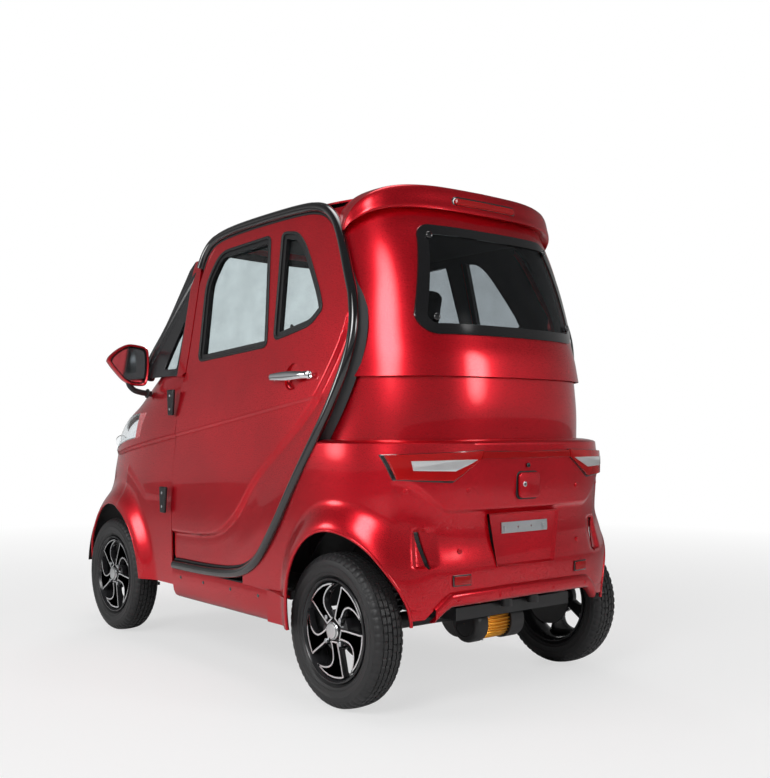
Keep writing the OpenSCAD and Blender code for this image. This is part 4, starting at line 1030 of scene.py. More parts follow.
window_glass = glazing("clear_side_glass", (0.72, 0.775, 0.785, 1))
scoop_centre = (0.578, 1.014)
HINGES = (0.575, 0.945)
for side, hand in ((1, "left"), (-1, "right")):
    body = f"door_{hand}"
    skin = side_sheet(body + "_skin", side, 0, 0.03, -0.2, 0.87, 0.34, 1.58, door_relief, 190, 230)
    cut(skin, prism("door_edge", door_outline, side * 0.3, side * 0.7, "x"), operation="INTERSECT")
    for outline in window_shapes.values():
        cut(skin, prism("window_hole", outline, side * 0.3, side * 0.7, "x"))
    cut(skin, prism("scoop_hole", disc(scoop_centre, 0.045, 48), side * 0.505, side * 0.6, "x"))
    done(smoothed(skin, 38), body_paint, "body_red", body, f"door_{hand}_panel")
    for name, outline in window_shapes.items():
        seal = hose(f"{body}_{name}_seal",
                    [(side * (side_x(z) - door_relief(y, z) - 0.001), y, z) for y,
                     z in shrunk(outline, 0.003)],
                    0.0062, closed=True)
        done(seal, seal_rubber, "trim_black", body)
        channel = side_sheet(f"{body}_{name}_frame", side, 0.004, 0.018, -0.2, 0.8, 1.06, 1.55)
        cut(channel, prism("outer", shrunk(outline, -0.002), side * 0.3, side * 0.7, "x"),
            operation="INTERSECT")
        cut(channel, prism("inner", shrunk(outline, 0.024), side * 0.3, side * 0.7, "x"))
        done(smoothed(channel, 30), satin_black, "trim_black", body)
        glass = side_sheet(f"{body}_{name}_glass", side, 0.014, 0.004, -0.2, 0.8, 1.06, 1.55, columns=30,
                           rows=40)
        cut(glass, prism("glass_edge", shrunk(outline, 0.0235), side * 0.3, side * 0.7, "x"),
            operation="INTERSECT")
        done(smoothed(glass, 30), window_glass, "clear_glass", body,
             *([f"door_{hand}_glass"] if name == "front" else []))
    bpy.ops.object.select_all(action="DESELECT")
    bpy.ops.mesh.primitive_uv_sphere_add(segments=40, ring_count=20, radius=0.0456)
    bowl = bpy.context.object
    bowl.name = body + "_handle_scoop"
    shape = bmesh.new()
    shape.from_mesh(bowl.data)
    bmesh.ops.rotate(shape, verts=shape.verts, cent=(0, 0, 0), matrix=Matrix.Rotation(pi / 2, 3, "Y"))
    bmesh.ops.delete(shape, geom=[v for v in shape.verts if v.co.x * side > 0.003], context="VERTS")
    for v in shape.verts:
        v.co.x *= 0.5
        v.co = Vector((side * (side_x(scoop_centre[1] + v.co.z) - 0.0045) + v.co.x, scoop_centre[0] + v.co.y,
                       scoop_centre[1] + v.co.z))
    bmesh.ops.reverse_faces(shape, faces=shape.faces)
    shape.to_mesh(bowl.data)
    shape.free()
    applied(bowl, "SOLIDIFY", thickness=0.002, offset=-1)
    done(smoothed(bowl, 40), body_paint, "body_red", body)
    handle_path = through([(0.468, 0.012), (0.478, 0.02), (0.52, 0.0255), (0.58, 0.027), (0.64, 0.0255),
                           (0.68, 0.02), (0.692, 0.012)], 5)
    handle = draped(body + "_handle_bar",
                    [[(side * (side_x(1.016) + out + 0.0075 * cos(a)), y,
                       1.0155 + 0.0155 * sin(a) * (1 - 0.25 * swell(abs(y - 0.58) / 0.11)))
                                            for y, out in handle_path] for a in np.linspace(0, 2 * pi, 25)],
                                            outward=(side, 0, 0))
    applied(handle, "WELD", merge_threshold=0.0004)
    done(smoothed(handle, 60), chrome, "chrome", body, f"door_{hand}_handle")
    feet = joined(body + "_handle_feet",
                  *[button("foot", (side * (side_x(1.016) - 0.002), y, 1.0155), 0.0135, 0.014, (side, 0, 0),
                           0.35)
                                           for y in (0.485, 0.676)])
    done(feet, chrome, "chrome", body)

# Door hinges: tapered black cast plates over the steel barrels of each door,
# each held by two small screws.
for side, hand in ((1, "left"), (-1, "right")):
    for z in HINGES:
        bpy.ops.object.select_all(action="DESELECT")
        bpy.ops.mesh.primitive_cube_add(size=1)
        plate = bpy.context.object
        plate.name = f"hinge_plate_{hand}_{int(z * 1000)}"
        shape = bmesh.new()
        shape.from_mesh(plate.data)
        for v in shape.verts:
            half = 0.027 if v.co.z > 0 else 0.018
            v.co = Vector((side * (side_x(z) + 0.017 + 0.012 * v.co.x * side), -0.212 + 2 * half * v.co.y,
                           z + 0.066 * v.co.z * 1.5))
        shape.to_mesh(plate.data)
        shape.free()
        applied(plate, "BEVEL", width=0.005, segments=4)
        done(smoothed(plate, 40), satin_black, "frame_black", "chassis",
             *(["door_hinges"] if side > 0 and z == HINGES[0] else []))
    pins = joined(f"hinge_screws_{hand}",
                  *[button("screw", (side * (side_x(z) + 0.022), -0.212, z + dz), 0.0048, 0.003, (side, 0, 0),
                           0.3)
                                            for z in HINGES for dz in (-0.026, 0.026)])
    done(pins, zinc, "zinc_steel", "chassis")

# Sills: a rolled panel of red plastic under each door,
# held to the floor pan by countersunk fasteners.
sill_profile = [(0.0, 0.318), (0.003, 0.3105), (0.0045, 0.3), (0.0025, 0.27), (-0.004, 0.235),
                (-0.012, 0.217), (-0.026, 0.209),
                (-0.05, 0.208)]
for side, hand in ((1, "left"), (-1, "right")):
    stations = np.linspace(-0.1895, 0.4795, 30)
    sill = draped(f"sill_{hand}",
                  [[(side * (0.5415 + out), y, z + 0.006 * swell((0.1 - abs(y - 0.145)) / 0.5))
                    for y in stations]
                                   for out, z in sill_profile], outward=(side, 0, 0))
    applied(sill, "SOLIDIFY", thickness=0.005, offset=-1)
    done(smoothed(sill, 40), body_paint, "body_red", "chassis", *(["sills"] if side > 0 else []))
    top = slab(f"sill_top_{hand}", 0.1, 0.012, 0.66, 0.003, 0.002, (side * 0.49, 0.145, 0.317))
    done(top, satin_black, "frame_black", "chassis")
    fasteners = joined(f"sill_fasteners_{hand}",
                       *[button("fastener", (side * 0.543, y, 0.29), 0.0062, 0.004, (side, 0, 0), 0.4)
                                                   for y in (-0.12, 0.05, 0.24, 0.42)])
    done(fasteners, gloss_black, "trim_black", "chassis")

# Front body: the nose panel with its wheel arches, from the side panels round to the other side.
# The sheet is drawn over the nose's sections, then the arches, intake and lamps are cut.
# Columns: height, half width, reach to the front, squareness of the corner
nose_rows = [(1.052, 0.5, 0.402, 3.6), (1.024, 0.506, 0.47, 3.4), (0.985, 0.514, 0.56, 3.2),
             (0.94, 0.522, 0.672, 3.0),
             (0.892, 0.53, 0.79, 3.0), (0.84, 0.538, 0.865, 3.0), (0.76, 0.546, 0.903, 3.1),
             (0.68, 0.55, 0.919, 3.2),
             (0.6, 0.551, 0.929, 3.3), (0.52, 0.551, 0.937, 3.9), (0.44, 0.549, 0.945, 4.5),
             (0.37, 0.547, 0.951, 5.0),
             (0.31, 0.544, 0.949, 5.2), (0.255, 0.54, 0.941, 5.2), (0.222, 0.534, 0.932, 5.2)][::-1]
nose_middle = -0.19
crease_front = through([(-0.86, 0.742), (-0.78, 0.75), (-0.6, 0.675), (-0.5, 0.625), (-0.42, 0.57),
                        (-0.36, 0.48), (-0.315, 0.36), (-0.3, 0.22)], 6)


def line_z(line, y):
    """Height of a flat line at a place along the vehicle."""
    return float(np.interp(y, [p[0] for p in line], [p[1] for p in line]))


def nose_point(x, y, z):
    """A point of the nose's skin, with the flares of the arches, the belt crease and the fender's creases."""
    side = swell((abs(x) - 0.3) / 0.18)
    lift = flare(y, z, "front") * side
    under = line_z(shoulder_line, y) - z
    fold = 0.007 * swell(under / 0.012) * (1 - 0.7 * swell((under - 0.02) / 0.2)) * side
    fold *= swell((line_z(crease_front[:25], y) - 0.01 - z) / -0.03) if y > -0.62 else 1
    return (x + np.sign(x) * (lift - fold), y, z)


def nose_row(z, out=0.0):
    half, reach, squareness = (reading(nose_rows, z, k) for k in (1, 2, 3))
    row = plan(half + out, -(reach + out), squareness, nose_middle, nose_middle, 140)
    return [nose_point(x, y, z) for x, y in row]


def nose_side(y, z):
    """Half width of the nose's skin at a place on its side."""
    half, reach, squareness = (reading(nose_rows, z, k) for k in (1, 2, 3))
    along = min(max(0, (nose_middle - y) / reach), 0.995)
    return nose_point(half * (1 - along ** squareness) ** (1 / squareness), y, z)[0]


def nose_sheet(name, heights, out=0.0, thickness=0.006, ahead=None):
    """A sheet that follows the nose at a distance from its skin."""
    rows = [[(x, y, z) for x, y, z in nose_row(z, out) if ahead is None or y < ahead] for z in heights]
    count = min(len(row) for row in rows)
    rows = [row[(len(row) - count) // 2:(len(row) - count) // 2 + count] for row in rows]
    return applied(draped(name, rows, outward=(0, -1, 0)), "SOLIDIFY", thickness=thickness, offset=-1)


nose = nose_sheet("front_body_panel", np.linspace(0.255, 1.052, 110))
for side in (1, -1):
    cut(nose, prism("front_arch", arch_outline("front", 0, 360), side * 0.3, side * 0.7, "x"))
headlamp_outline = [(0.25, 0.735), (0.3, 0.7), (0.42, 0.71), (0.475, 0.76), (0.56, 0.83), (0.58, 0.93),
                    (0.48, 0.9),
                    (0.4, 0.852), (0.33, 0.81), (0.262, 0.775)]
intake_outline = [(-0.24, 0.56), (-0.2, 0.46), (0.2, 0.46), (0.24, 0.56)]
cut(nose, prism("intake_hole", softened(intake_outline, 0.02), -1.1, -0.7))
for side in (1, -1):
    cut(nose, prism("headlamp_hole", softened(mirrored(headlamp_outline, side), 0.015), -1.1, -0.55))
smoothed(nose, 38)
front_lips = [hose("arch_lip", [(side * x, y, z) for x, y, z in arch_lip("front", 2, 178, nose_side)], 0.0055)
              for side in (-1, 1)]
nose = joined("front_body_panel", nose, *front_lips)
done(nose, body_paint, "body_red", "chassis", "front_body")
bumper = nose_sheet("front_bumper_lip", np.linspace(0.216, 0.2545, 6), 0.002, 0.012, -0.93)
done(smoothed(bumper, 38), satin_black, "frame_black", "chassis", "front_bumper")

# Air intake: black moulded bars across the opening in the nose, over a dark back plate.
# Headlamps: a chromed bowl and projectors in a dark housing, under a clear lens with a black rim.
bars = joined("intake_bars",
              *[slab("bar", 0.46, 0.008, 0.02, 0.003, 0.0015, (0, -1.1 + 0.005, z))
                for z in (0.478, 0.5, 0.522, 0.544)])
for v in bars.data.vertices:
    v.co.y += 1.107 - reading(nose_rows, 0.5, 2) - 0.19
done(bars, satin_black, "trim_black", "chassis")
intake_back = nose_sheet("intake_back", np.linspace(0.44, 0.58, 8), -0.035, 0.004, -1.0)
done(smoothed(intake_back, 30), satin_black, "trim_black", "chassis")
headlamp_clear = glazing("headlamp_lens", (0.93, 0.95, 0.96, 1), 0.03)
for side, hand in ((1, "left"), (-1, "right")):
    for name, out, thickness, outline, finish, kind in (
            ("lens", 0.0015, 0.003, headlamp_outline, headlamp_clear, "lamp_clear"),
            ("reflector", -0.022, 0.003, grown(headlamp_outline, 0.01), chrome, "chrome"),
            ("bezel", -0.0005, 0.008, grown(headlamp_outline, 0.004), gloss_black, "trim_black")):
        piece = nose_sheet(f"headlamp_{hand}_{name}", np.linspace(0.68, 0.95, 36), out, thickness, -0.45)
        cut(piece, prism("lamp_edge", softened(mirrored(outline, side), 0.015), -1.1, -0.45),
            operation="INTERSECT")
        if name == "bezel":
            cut(piece,
                prism("lamp_inner", softened(mirrored(grown(headlamp_outline, -0.006), side), 0.015), -1.1,
                      -0.45))
        done(smoothed(piece, 40), finish, kind, "chassis",
             *(["headlamps"] if name == "lens" and side > 0 else []))
    for x, z in ((0.34, 0.755), (0.43, 0.79)):
        bowl = button("bulb",
                      (side * x,
                       -0.19 - reading(nose_rows, z, 2) * (1 - (x / 0.545) ** 3.1) ** (1 / 3.1) + 0.02, z),
                      0.026, 0.012, (0, -1, 0), 0.8)
        bowl.name = f"headlamp_{hand}_projector_{int(x * 100)}"
        done(bowl, headlamp_clear, "lamp_clear", "chassis")

# Windscreen and its pillars: a bowed pane with a black border, between two dark pillars.
# A red header runs under the front of the roof, and a red post stands before each door.
cowl, header = (-0.59, 1.056), (-0.168, 1.56)


def screen_point(s, t, inset=0.0, widen=0.0):
    """A point of the windscreen: s from side to side, t from the cowl to the header."""
    half = 0.4636 - 0.03 * t - 0.06 * t * t + widen
    y = cowl[0] + (header[0] - cowl[0]) * t + 0.046 * s * s
    return (half * s, y + inset * 0.77, cowl[1] + (header[1] - cowl[1]) * t - inset * 0.64)


screen = draped("windscreen",
                [[screen_point(s, t) for s in np.linspace(-1, 1, 41)] for t in np.linspace(0.01, 0.985, 30)],
                outward=(0, -1, 0))
applied(screen, "SOLIDIFY", thickness=0.005, offset=-1)
done(smoothed(screen, 30), window_glass, "clear_glass", "chassis", "front_glass")
border_outer = [(s, 0.015) for s in np.linspace(-0.99, 0.99, 30)] + [(0.99, t)
    for t in np.linspace(0.05, 0.95, 20)] + \
    [(s, 0.98) for s in np.linspace(0.99, -0.99, 30)] + [(-0.99, t) for t in np.linspace(0.95, 0.05, 20)]
border = draped("windscreen_border",
                [[screen_point(s * (1 - k), 0.5 + (t - 0.5) * (1 - k), 0.0062) for s,
                  t in border_outer + border_outer[:1]]
                                      for k in (0.0, 0.05, 0.1)], outward=(0, -1, 0))
applied(border, "SOLIDIFY", thickness=0.002, offset=0)
done(smoothed(border, 30), gloss_black, "trim_black", "chassis")
pillar_black = plain_finish("pillar_black", (0.016, 0.016, 0.018, 1), 0.25)
names = ["pillar_frame"]
for side, hand in ((1, "left"), (-1, "right")):
    steps = np.linspace(-0.005, 1.0, 40)
    spine = [Vector(screen_point(side, t)) + Vector((side * 0.02, 0.004, 0.004 * t)) for t in steps]
    section = [(0.024 * cos(a), 0.034 * sin(a)) for a in np.linspace(0, 2 * pi, 25)]
    pillar = draped(f"pillar_{hand}",
                    [[tuple(p + Vector((side * u, v * 0.77 + 0.01, -v * 0.45))) for u, v in section]
                     for p in spine],
                    outward=(side, 0, 0))
    applied(pillar, "WELD", merge_threshold=0.0004)
    done(smoothed(pillar, 60), pillar_black, "frame_black", "chassis")
    edge = through([(-0.575, 1.05), (-0.5, 1.15), (-0.4, 1.262), (-0.31, 1.395), (-0.262, 1.47)], 4)
    panel_outline = edge + [(-0.226, 1.5), (-0.226, 1.05)]
    quarter_hole = softened([(-0.236, 1.27), (-0.248, 1.078), (-0.352, 1.078), (-0.318, 1.14)], 0.012)
    quarter = side_sheet(f"quarter_panel_{hand}", side, 0.002, 0.014, -0.6, -0.2, 1.045, 1.51, columns=30,
                         rows=40)
    cut(quarter, prism("quarter_edge", panel_outline, side * 0.3, side * 0.7, "x"), operation="INTERSECT")
    cut(quarter, prism("quarter_hole", quarter_hole, side * 0.3, side * 0.7, "x"))
    applied(quarter, "BEVEL", width=0.003, segments=3, limit_method="ANGLE", angle_limit=radians(55))
    done(smoothed(quarter, 30), pillar_black, "frame_black", "chassis")
    pane = side_sheet(f"quarter_glass_{hand}", side, 0.008, 0.004, -0.4, -0.2, 1.05, 1.3, columns=12, rows=12)
    cut(pane,
        prism("pane_edge", [(-0.232, 1.29), (-0.232, 1.068), (-0.37, 1.068), (-0.33, 1.15)], side * 0.3,
              side * 0.7, "x"),
        operation="INTERSECT")
    done(pane, window_glass, "clear_glass", "chassis")
    post = side_sheet(f"door_post_{hand}", side, -0.001, 0.024, -0.24, -0.15, 1.045, 1.53, columns=6, rows=40)
    cut(post,
        prism("post_edge",
              [(-0.228, 1.0), (-0.228, 1.46), (-0.215, 1.5), (-0.166, 1.5), (-0.164, 1.4), (-0.164, 1.058),
               (-0.185, 1.053), (-0.19, 1.0)],
                    side * 0.3, side * 0.7, "x"), operation="INTERSECT")
    applied(post, "BEVEL", width=0.004, segments=3, limit_method="ANGLE", angle_limit=radians(55))
    done(smoothed(post, 30), body_paint, "body_red", "chassis", *names)
    names = []
header_bar = hose("roof_header",
                  [tuple(Vector(screen_point(s, 1.0)) + Vector((0, -0.003, 0.007)))
                   for s in np.linspace(-1.03, 1.03, 30)], 0.023)
done(header_bar, body_paint, "body_red", "chassis")

# Mirrors: a red shell with a pointed outer end on a curved black arm, with a flat glass in a black rim.
# Wiper: a black arm and blade that lie over the foot of the windscreen.
mirror_outline = through([(0.084, 0.014), (0.074, 0.034), (0.042, 0.062), (0.008, 0.08), (-0.014, 0.084),
                          (-0.05, 0.081), (-0.076, 0.075),
                          (-0.088, 0.062), (-0.092, 0.024), (-0.092, -0.014), (-0.089, -0.045),
                          (-0.083, -0.07), (-0.07, -0.082),
                          (-0.04, -0.083), (-0.012, -0.078), (0.018, -0.06), (0.044, -0.034), (0.066, -0.01),
                          (0.084, 0.014)], 4)
mirror_middle = Vector((0.6, -0.492, 1.1))
for side, hand in ((1, "left"), (-1, "right")):
    def mirror_ring(scale, back):
        return [(side * (mirror_middle.x + x * scale), mirror_middle.y + back, mirror_middle.z + z * scale)
                for x, z in mirror_outline]
    housing = draped(f"mirror_{hand}_housing", [mirror_ring(*row) for row in (
        (0.9, 0.006), (0.9, 0.018), (0.93, 0.0205), (0.97, 0.0195), (1.0, 0.014), (1.0, 0.0), (0.96, -0.014),
        (0.87, -0.026),
        (0.72, -0.035), (0.5, -0.04), (0.25, -0.042), (0.01, -0.0425))])
    shape = bmesh.new()
    shape.from_mesh(housing.data)
    bmesh.ops.remove_doubles(shape, verts=shape.verts, dist=0.0004)
    bmesh.ops.recalc_face_normals(shape, faces=shape.faces)
    shape.to_mesh(housing.data)
    shape.free()
    done(smoothed(housing, 40), body_paint, "body_red", "chassis", *(["mirrors"] if side > 0 else []))
    for name, scale, back, deep, finish, kind in (("rim", 0.905, 0.0125, 0.008, gloss_black, "trim_black"),
                                                  ("glass", 0.8, 0.0145, 0.006, chrome, "chrome")):
        plate = prism(f"mirror_{hand}_{name}",
                      [(side * (mirror_middle.x + x * scale), mirror_middle.z + z * scale) for x,
                       z in mirror_outline[:-1]],
                      mirror_middle.y + back - deep, mirror_middle.y + back)
        done(plate, finish, kind, "chassis")
    arm = through([(side * x, y, z) for x, y,
                   z in ((0.592, -0.492, 1.04), (0.585, -0.491, 1.018), (0.566, -0.489, 1.0),
                                                    (0.54, -0.486, 0.992), (0.515, -0.484, 0.988),
                                                    (0.495, -0.482, 0.986))], 5)
    done(hose(f"mirror_{hand}_arm", arm, 0.0115, sides=16), satin_black, "trim_black", "chassis")
    done(button(f"mirror_{hand}_foot", (side * 0.508, -0.483, 0.987), 0.019, 0.008, (side, 0, 0.1), 0.5),
         satin_black,
         "trim_black", "chassis")
wiper_points = [screen_point(-0.05 - 0.5 * t, 0.03 + 0.1 * t, -0.011) for t in np.linspace(0, 1, 12)]
done(hose("wiper_arm", wiper_points, 0.0045), satin_black, "trim_black", "chassis", "wiper")
done(hose("wiper_blade",
          [screen_point(-0.1 - 0.55 * t, 0.06 + 0.1 * t, -0.005) for t in np.linspace(0, 1, 20)], 0.0035),
     seal_rubber, "trim_black", "chassis")

# Wheel-arch liners: black moulded half rounds inside each wheel arch,
# a strip of the arch's own curve with a wall on the inner side.
for wheel, first, last, widths in (("front", 4, 176, (0.34, 0.53)), ("rear", 84, 184, (0.34, 0.5))):
    for side, hand in ((1, "left"), (-1, "right")):
        liner = draped(f"liner_{wheel}_{hand}",
                       [[(side * x, y, z) for y, z in arch_outline(wheel, first, last, 60, 0.012)]
                                                 for x in np.linspace(*widths, 5)])
        applied(liner, "SOLIDIFY", thickness=0.004, offset=0)
        done(smoothed(liner, 40), satin_black, "trim_black", "chassis")

# Wheels: tyres with round shoulders, raised rings on the sidewalls and a grooved tread,
# on black alloy rims with five swept blades whose faces are machined bright.
# A ring of tyre section turned about the axle; every wheel is made once and copied.
tyre_rubber = plain_finish("tyre_rubber", (0.018, 0.018, 0.019, 1), 0.5, grain=900.0, bump=0.25)
alloy_black = plain_finish("alloy_black", (0.02, 0.02, 0.022, 1), 0.22, bump=0.02)
machined = plain_finish("machined_alloy", (0.78, 0.79, 0.8, 1), 0.2, Metallic=1.0, grain=420.0, bump=0.08)
tyre_half = [(0.158, 0.0385), (0.166, 0.0455), (0.1675, 0.0475), (0.171, 0.0485), (0.176, 0.0505),
             (0.1775, 0.0518), (0.1795, 0.0518), (0.181, 0.0518),
             (0.189, 0.0545), (0.196, 0.0556), (0.1965, 0.056), (0.199, 0.056), (0.1995, 0.0553),
             (0.206, 0.0545), (0.2125, 0.0525), (0.213, 0.0515),
             (0.2185, 0.0495), (0.2225, 0.047), (0.2262, 0.0435), (0.229, 0.039), (0.2305, 0.035),
             (0.2312, 0.0335), (0.2258, 0.0333), (0.2258, 0.0307),
             (0.2316, 0.0305), (0.2326, 0.024), (0.2332, 0.0185), (0.2272, 0.0183), (0.2272, 0.0152),
             (0.2334, 0.015), (0.2338, 0.009), (0.2339, 0.0023), (0.2278, 0.0021)]
tyre_section = tyre_half + [(r, -x) for r, x in tyre_half[::-1]]
steps = 360


def tyre_ring(name):
    """A tyre about the X axis, with sipes across its tread blocks."""
    rows = []
    for k in range(steps + 1):
        a = 2 * pi * k / steps
        row = []
        for r, x in tyre_section:
            if r > 0.2312 and k % 6 == (0 if x > 0 else 3):
                r -= 0.003
            if 0.2185 <= r <= 0.2306 and abs(x) > 0.034 and k % 6 in (0, 1):
                r -= 0.0022
                x *= 0.985
            row.append((x, r * cos(a), r * sin(a)))
        rows.append(row)
    ring = draped(name, rows)
    applied(ring, "WELD", merge_threshold=0.0002)
    shape = bmesh.new()
    shape.from_mesh(ring.data)
    bmesh.ops.recalc_face_normals(shape, faces=shape.faces)
    shape.to_mesh(ring.data)
    shape.free()
    return smoothed(ring, 30)


def turned_ring(name, section, count=128):
    """A closed section (radius, place on the axle) turned about the X axis."""
    rows = [[(x, r * cos(2 * pi * k / count), r * sin(2 * pi * k / count)) for r, x in section + section[:1]]
            for k in range(count + 1)]
    ring = draped(name, rows)
    applied(ring, "WELD", merge_threshold=0.00005)
    shape = bmesh.new()
    shape.from_mesh(ring.data)
    bmesh.ops.recalc_face_normals(shape, faces=shape.faces)
    shape.to_mesh(ring.data)
    shape.free()
    return smoothed(ring, 32)


barrel_section = [(0.1577, -0.046), (0.1577, 0.046), (0.1558, 0.0478), (0.1525, 0.048), (0.1505, 0.046),
                  (0.1465, 0.036), (0.143, 0.03),
                  (0.1405, 0.012), (0.1395, -0.01), (0.143, -0.03), (0.1495, -0.044), (0.153, -0.047)]
# Columns: radius, angle from the blade's straight edge in degrees
blade_line = [(0.036, -12), (0.062, -6.5), (0.095, -3), (0.128, -1), (0.1425, 0), (0.1425, 15), (0.1425, 30),
              (0.1425, 45), (0.1415, 57),
              (0.132, 50), (0.12, 39.5), (0.107, 30), (0.092, 24.5), (0.076, 23.5), (0.058, 28), (0.044, 36),
              (0.036, 46)]
swirl_line = [(0.052, 8), (0.07, 8.5), (0.088, 10), (0.105, 13.5), (0.119, 20), (0.129, 30), (0.1345, 43),
              (0.131, 42), (0.12, 34),
              (0.107, 25.5), (0.092, 19.5), (0.076, 17.5), (0.06, 20)]


def flat_ring(line, closed_by, inset):
    """Points of a blade outline moved inwards."""
    outline = [(r * cos(radians(a)), -r * sin(radians(a))) for r, a in line]
    return shrunk([tuple(p) for p in through(outline + outline[:1], closed_by)[:-1]], inset)


def plate_x(name, outline, x0, x1, holes=()):
    """A flat plate across the axle between two places on it."""
    piece = prism(name, outline, x0, x1, "x")
    for hole in holes:
        cut(piece, prism("hole", hole, x0 - 0.01, x1 + 0.01, "x"))
    return piece


def wheel_face(turns):
    """Five blades with bright outlines and a bright sickle on each, about the X axis."""
    dark, bright = [], []
    for k in range(5):
        turn = Matrix.Rotation(2 * pi * k / 5 + turns, 4, "X")
        blade = plate_x("blade", flat_ring(blade_line, 4, 0), 0.018, 0.0385)
        applied(blade, "BEVEL", width=0.003, segments=2, limit_method="ANGLE", angle_limit=radians(60))
        edging = plate_x("edging", flat_ring(blade_line, 4, 0.0008), 0.036, 0.0405,
                         [flat_ring(blade_line, 4, 0.0056)])
        sickle = plate_x("sickle", flat_ring(swirl_line, 4, 0), 0.036, 0.0405)
        for piece in (blade, edging, sickle):
            piece.data.transform(turn)
        dark.append(blade)
        bright += [edging, sickle]
    return dark, bright


def nut(y, z):
    """A wheel nut with six sides in its socket."""
    hexagon = [(y + 0.0082 * cos(pi * k / 3), z + 0.0082 * sin(pi * k / 3)) for k in range(6)]
    piece = plate_x("nut", hexagon, 0.026, 0.0455)
    return applied(piece, "BEVEL", width=0.0015, segments=2, limit_method="ANGLE", angle_limit=radians(50))


tyre = tyre_ring("tyre")
barrel = turned_ring("barrel", barrel_section)
dark, bright = wheel_face(0.04)
hub_disc = plate_x("hub_disc", disc((0, 0), 0.062, 96), 0.014, 0.033,
                   [disc((0.05 * cos(a), 0.05 * sin(a)), 0.0125, 24) for a in
                                                                       (pi / 4, 3 * pi / 4, 5 * pi / 4,
                                                                           7 * pi / 4)])
applied(hub_disc, "BEVEL", width=0.0025, segments=3, limit_method="ANGLE", angle_limit=radians(50))
hub_back = plate_x("hub_back", disc((0, 0), 0.05, 64), -0.03, 0.02)
black_rim = joined("rim_black", barrel, hub_disc, hub_back, *dark)
smoothed(black_rim, 35)
cap_ring = turned_ring("cap_ring",
                       [(0.0275, 0.032), (0.0275, 0.0455), (0.0262, 0.047), (0.0245, 0.0475),
                        (0.0235, 0.0462), (0.0235, 0.032)])
bright_rim = joined("rim_bright", cap_ring, *bright)
smoothed(bright_rim, 35)
cap = button("hub_cap", (0.046, 0, 0), 0.0236, 0.006, (1, 0, 0), 0.35)
nuts = joined("wheel_nuts",
              *[nut(0.05 * cos(a), 0.05 * sin(a)) for a in (pi / 4, 3 * pi / 4, 5 * pi / 4, 7 * pi / 4)])
smoothed(nuts, 35)
cap_silver = plain_finish("cap_silver", (0.7, 0.71, 0.72, 1), 0.3, Metallic=1.0, grain=500.0, bump=0.1)
valve = hose("valve", [(0.036, 0.0, 0.128), (0.044, 0.0, 0.124), (0.052, 0.0, 0.119)], 0.0032)
wheel_parts = {"tyre": (tyre, tyre_rubber, "tyre_rubber"), "rim": (black_rim, alloy_black, "alloy"),
               "face": (bright_rim, machined, "alloy"),
               "cap": (cap, cap_silver, "alloy"), "nuts": (nuts, zinc, "zinc_steel"),
               "valve": (valve, gloss_black, "trim_black")}
for place, y in (("front", -0.74), ("rear", 0.82)):
    for side, hand in ((1, "left"), (-1, "right")):
        turn = Matrix.Rotation(0 if side > 0 else pi, 4, "Z")
        spot = Matrix.Translation((side * 0.487, y,
                                   0.234)) @ turn @ Matrix.Rotation(radians(-4 if place == "front" else 0), 4,
                                       "X")
        for kind, (model, finish, words) in wheel_parts.items():
            piece = model.copy()
            piece.data = model.data.copy()
            piece.name = f"wheel_{place}_{hand}_{kind}"
            bpy.context.collection.objects.link(piece)
            piece.data.transform(spot)
            done(piece, finish, words, f"wheel_{place}_{hand}",
                 *([f"{kind}_{place}_{hand}"] if kind in ("tyre", "rim") else []))
for model, finish, words in wheel_parts.values():
    bpy.data.objects.remove(model)

# Drive motor: a gold cast housing with ribs along it,
# bolted between the axle case and a black end cap.
motor_gold = plain_finish("gold_anodised", (0.75, 0.33, 0.035, 1), 0.3, Metallic=0.85, grain=260.0, bump=0.1)
motor_y, motor_z = 0.992, 0.234


def round_section(ribs, radius, rib, count=240):
    """A ribbed round outline about the motor's axis."""
    found = []
    for k in range(count):
        a = 2 * pi * k / count
        ribbed = swell((cos(a * ribs) + 0.35) / 0.5)
        found.append((motor_y + (radius - rib * (1 - ribbed)) * cos(a),
                      motor_z + (radius - rib * (1 - ribbed)) * sin(a)))
    return found


housing = prism("motor_housing", round_section(30, 0.0545, 0.006), -0.002, 0.1, "x")
applied(housing, "BEVEL", width=0.0008, segments=2, limit_method="ANGLE", angle_limit=radians(70))
done(smoothed(housing, 40), motor_gold, "motor_gold", "chassis", "motor")
end_cap = draped("motor_end_cap",
                 [[(x, motor_y + r * cos(2 * pi * k / 96), motor_z + r * sin(2 * pi * k / 96))
                   for k in range(97)]
                                   for x, r in ((0.096, 0.02), (0.096, 0.0555), (0.098, 0.058),
                                                (0.101, 0.0595), (0.136, 0.0595), (0.143, 0.0575),
                                                (0.1475, 0.0525), (0.149, 0.046), (0.149, 0.04),
                                                (0.1475, 0.0385), (0.1475, 0.001))])
shape = bmesh.new()
shape.from_mesh(end_cap.data)
bmesh.ops.remove_doubles(shape, verts=shape.verts, dist=0.0005)
bmesh.ops.recalc_face_normals(shape, faces=shape.faces)
shape.to_mesh(end_cap.data)
shape.free()
done(smoothed(end_cap, 40), satin_black, "frame_black", "chassis")
ring_bolts = [button("bolt", (0.0935, motor_y + 0.0575 * cos(a), motor_z + 0.0575 * sin(a)), 0.0035, 0.003,
                     (0, cos(a), sin(a)), 0.4)
              for a in (0.4, 2.0, 3.5, 5.2)]
done(joined("motor_bolts", *ring_bolts), zinc, "zinc_steel", "chassis")
green = plain_finish("green_paint_dot", (0.03, 0.35, 0.08, 1), 0.5)
done(button("motor_paint_mark", (0.088, motor_y + 0.047, motor_z + 0.0265), 0.006, 0.0015, (0, 0.87, 0.49),
            0.2), green, "motor_gold", "chassis")

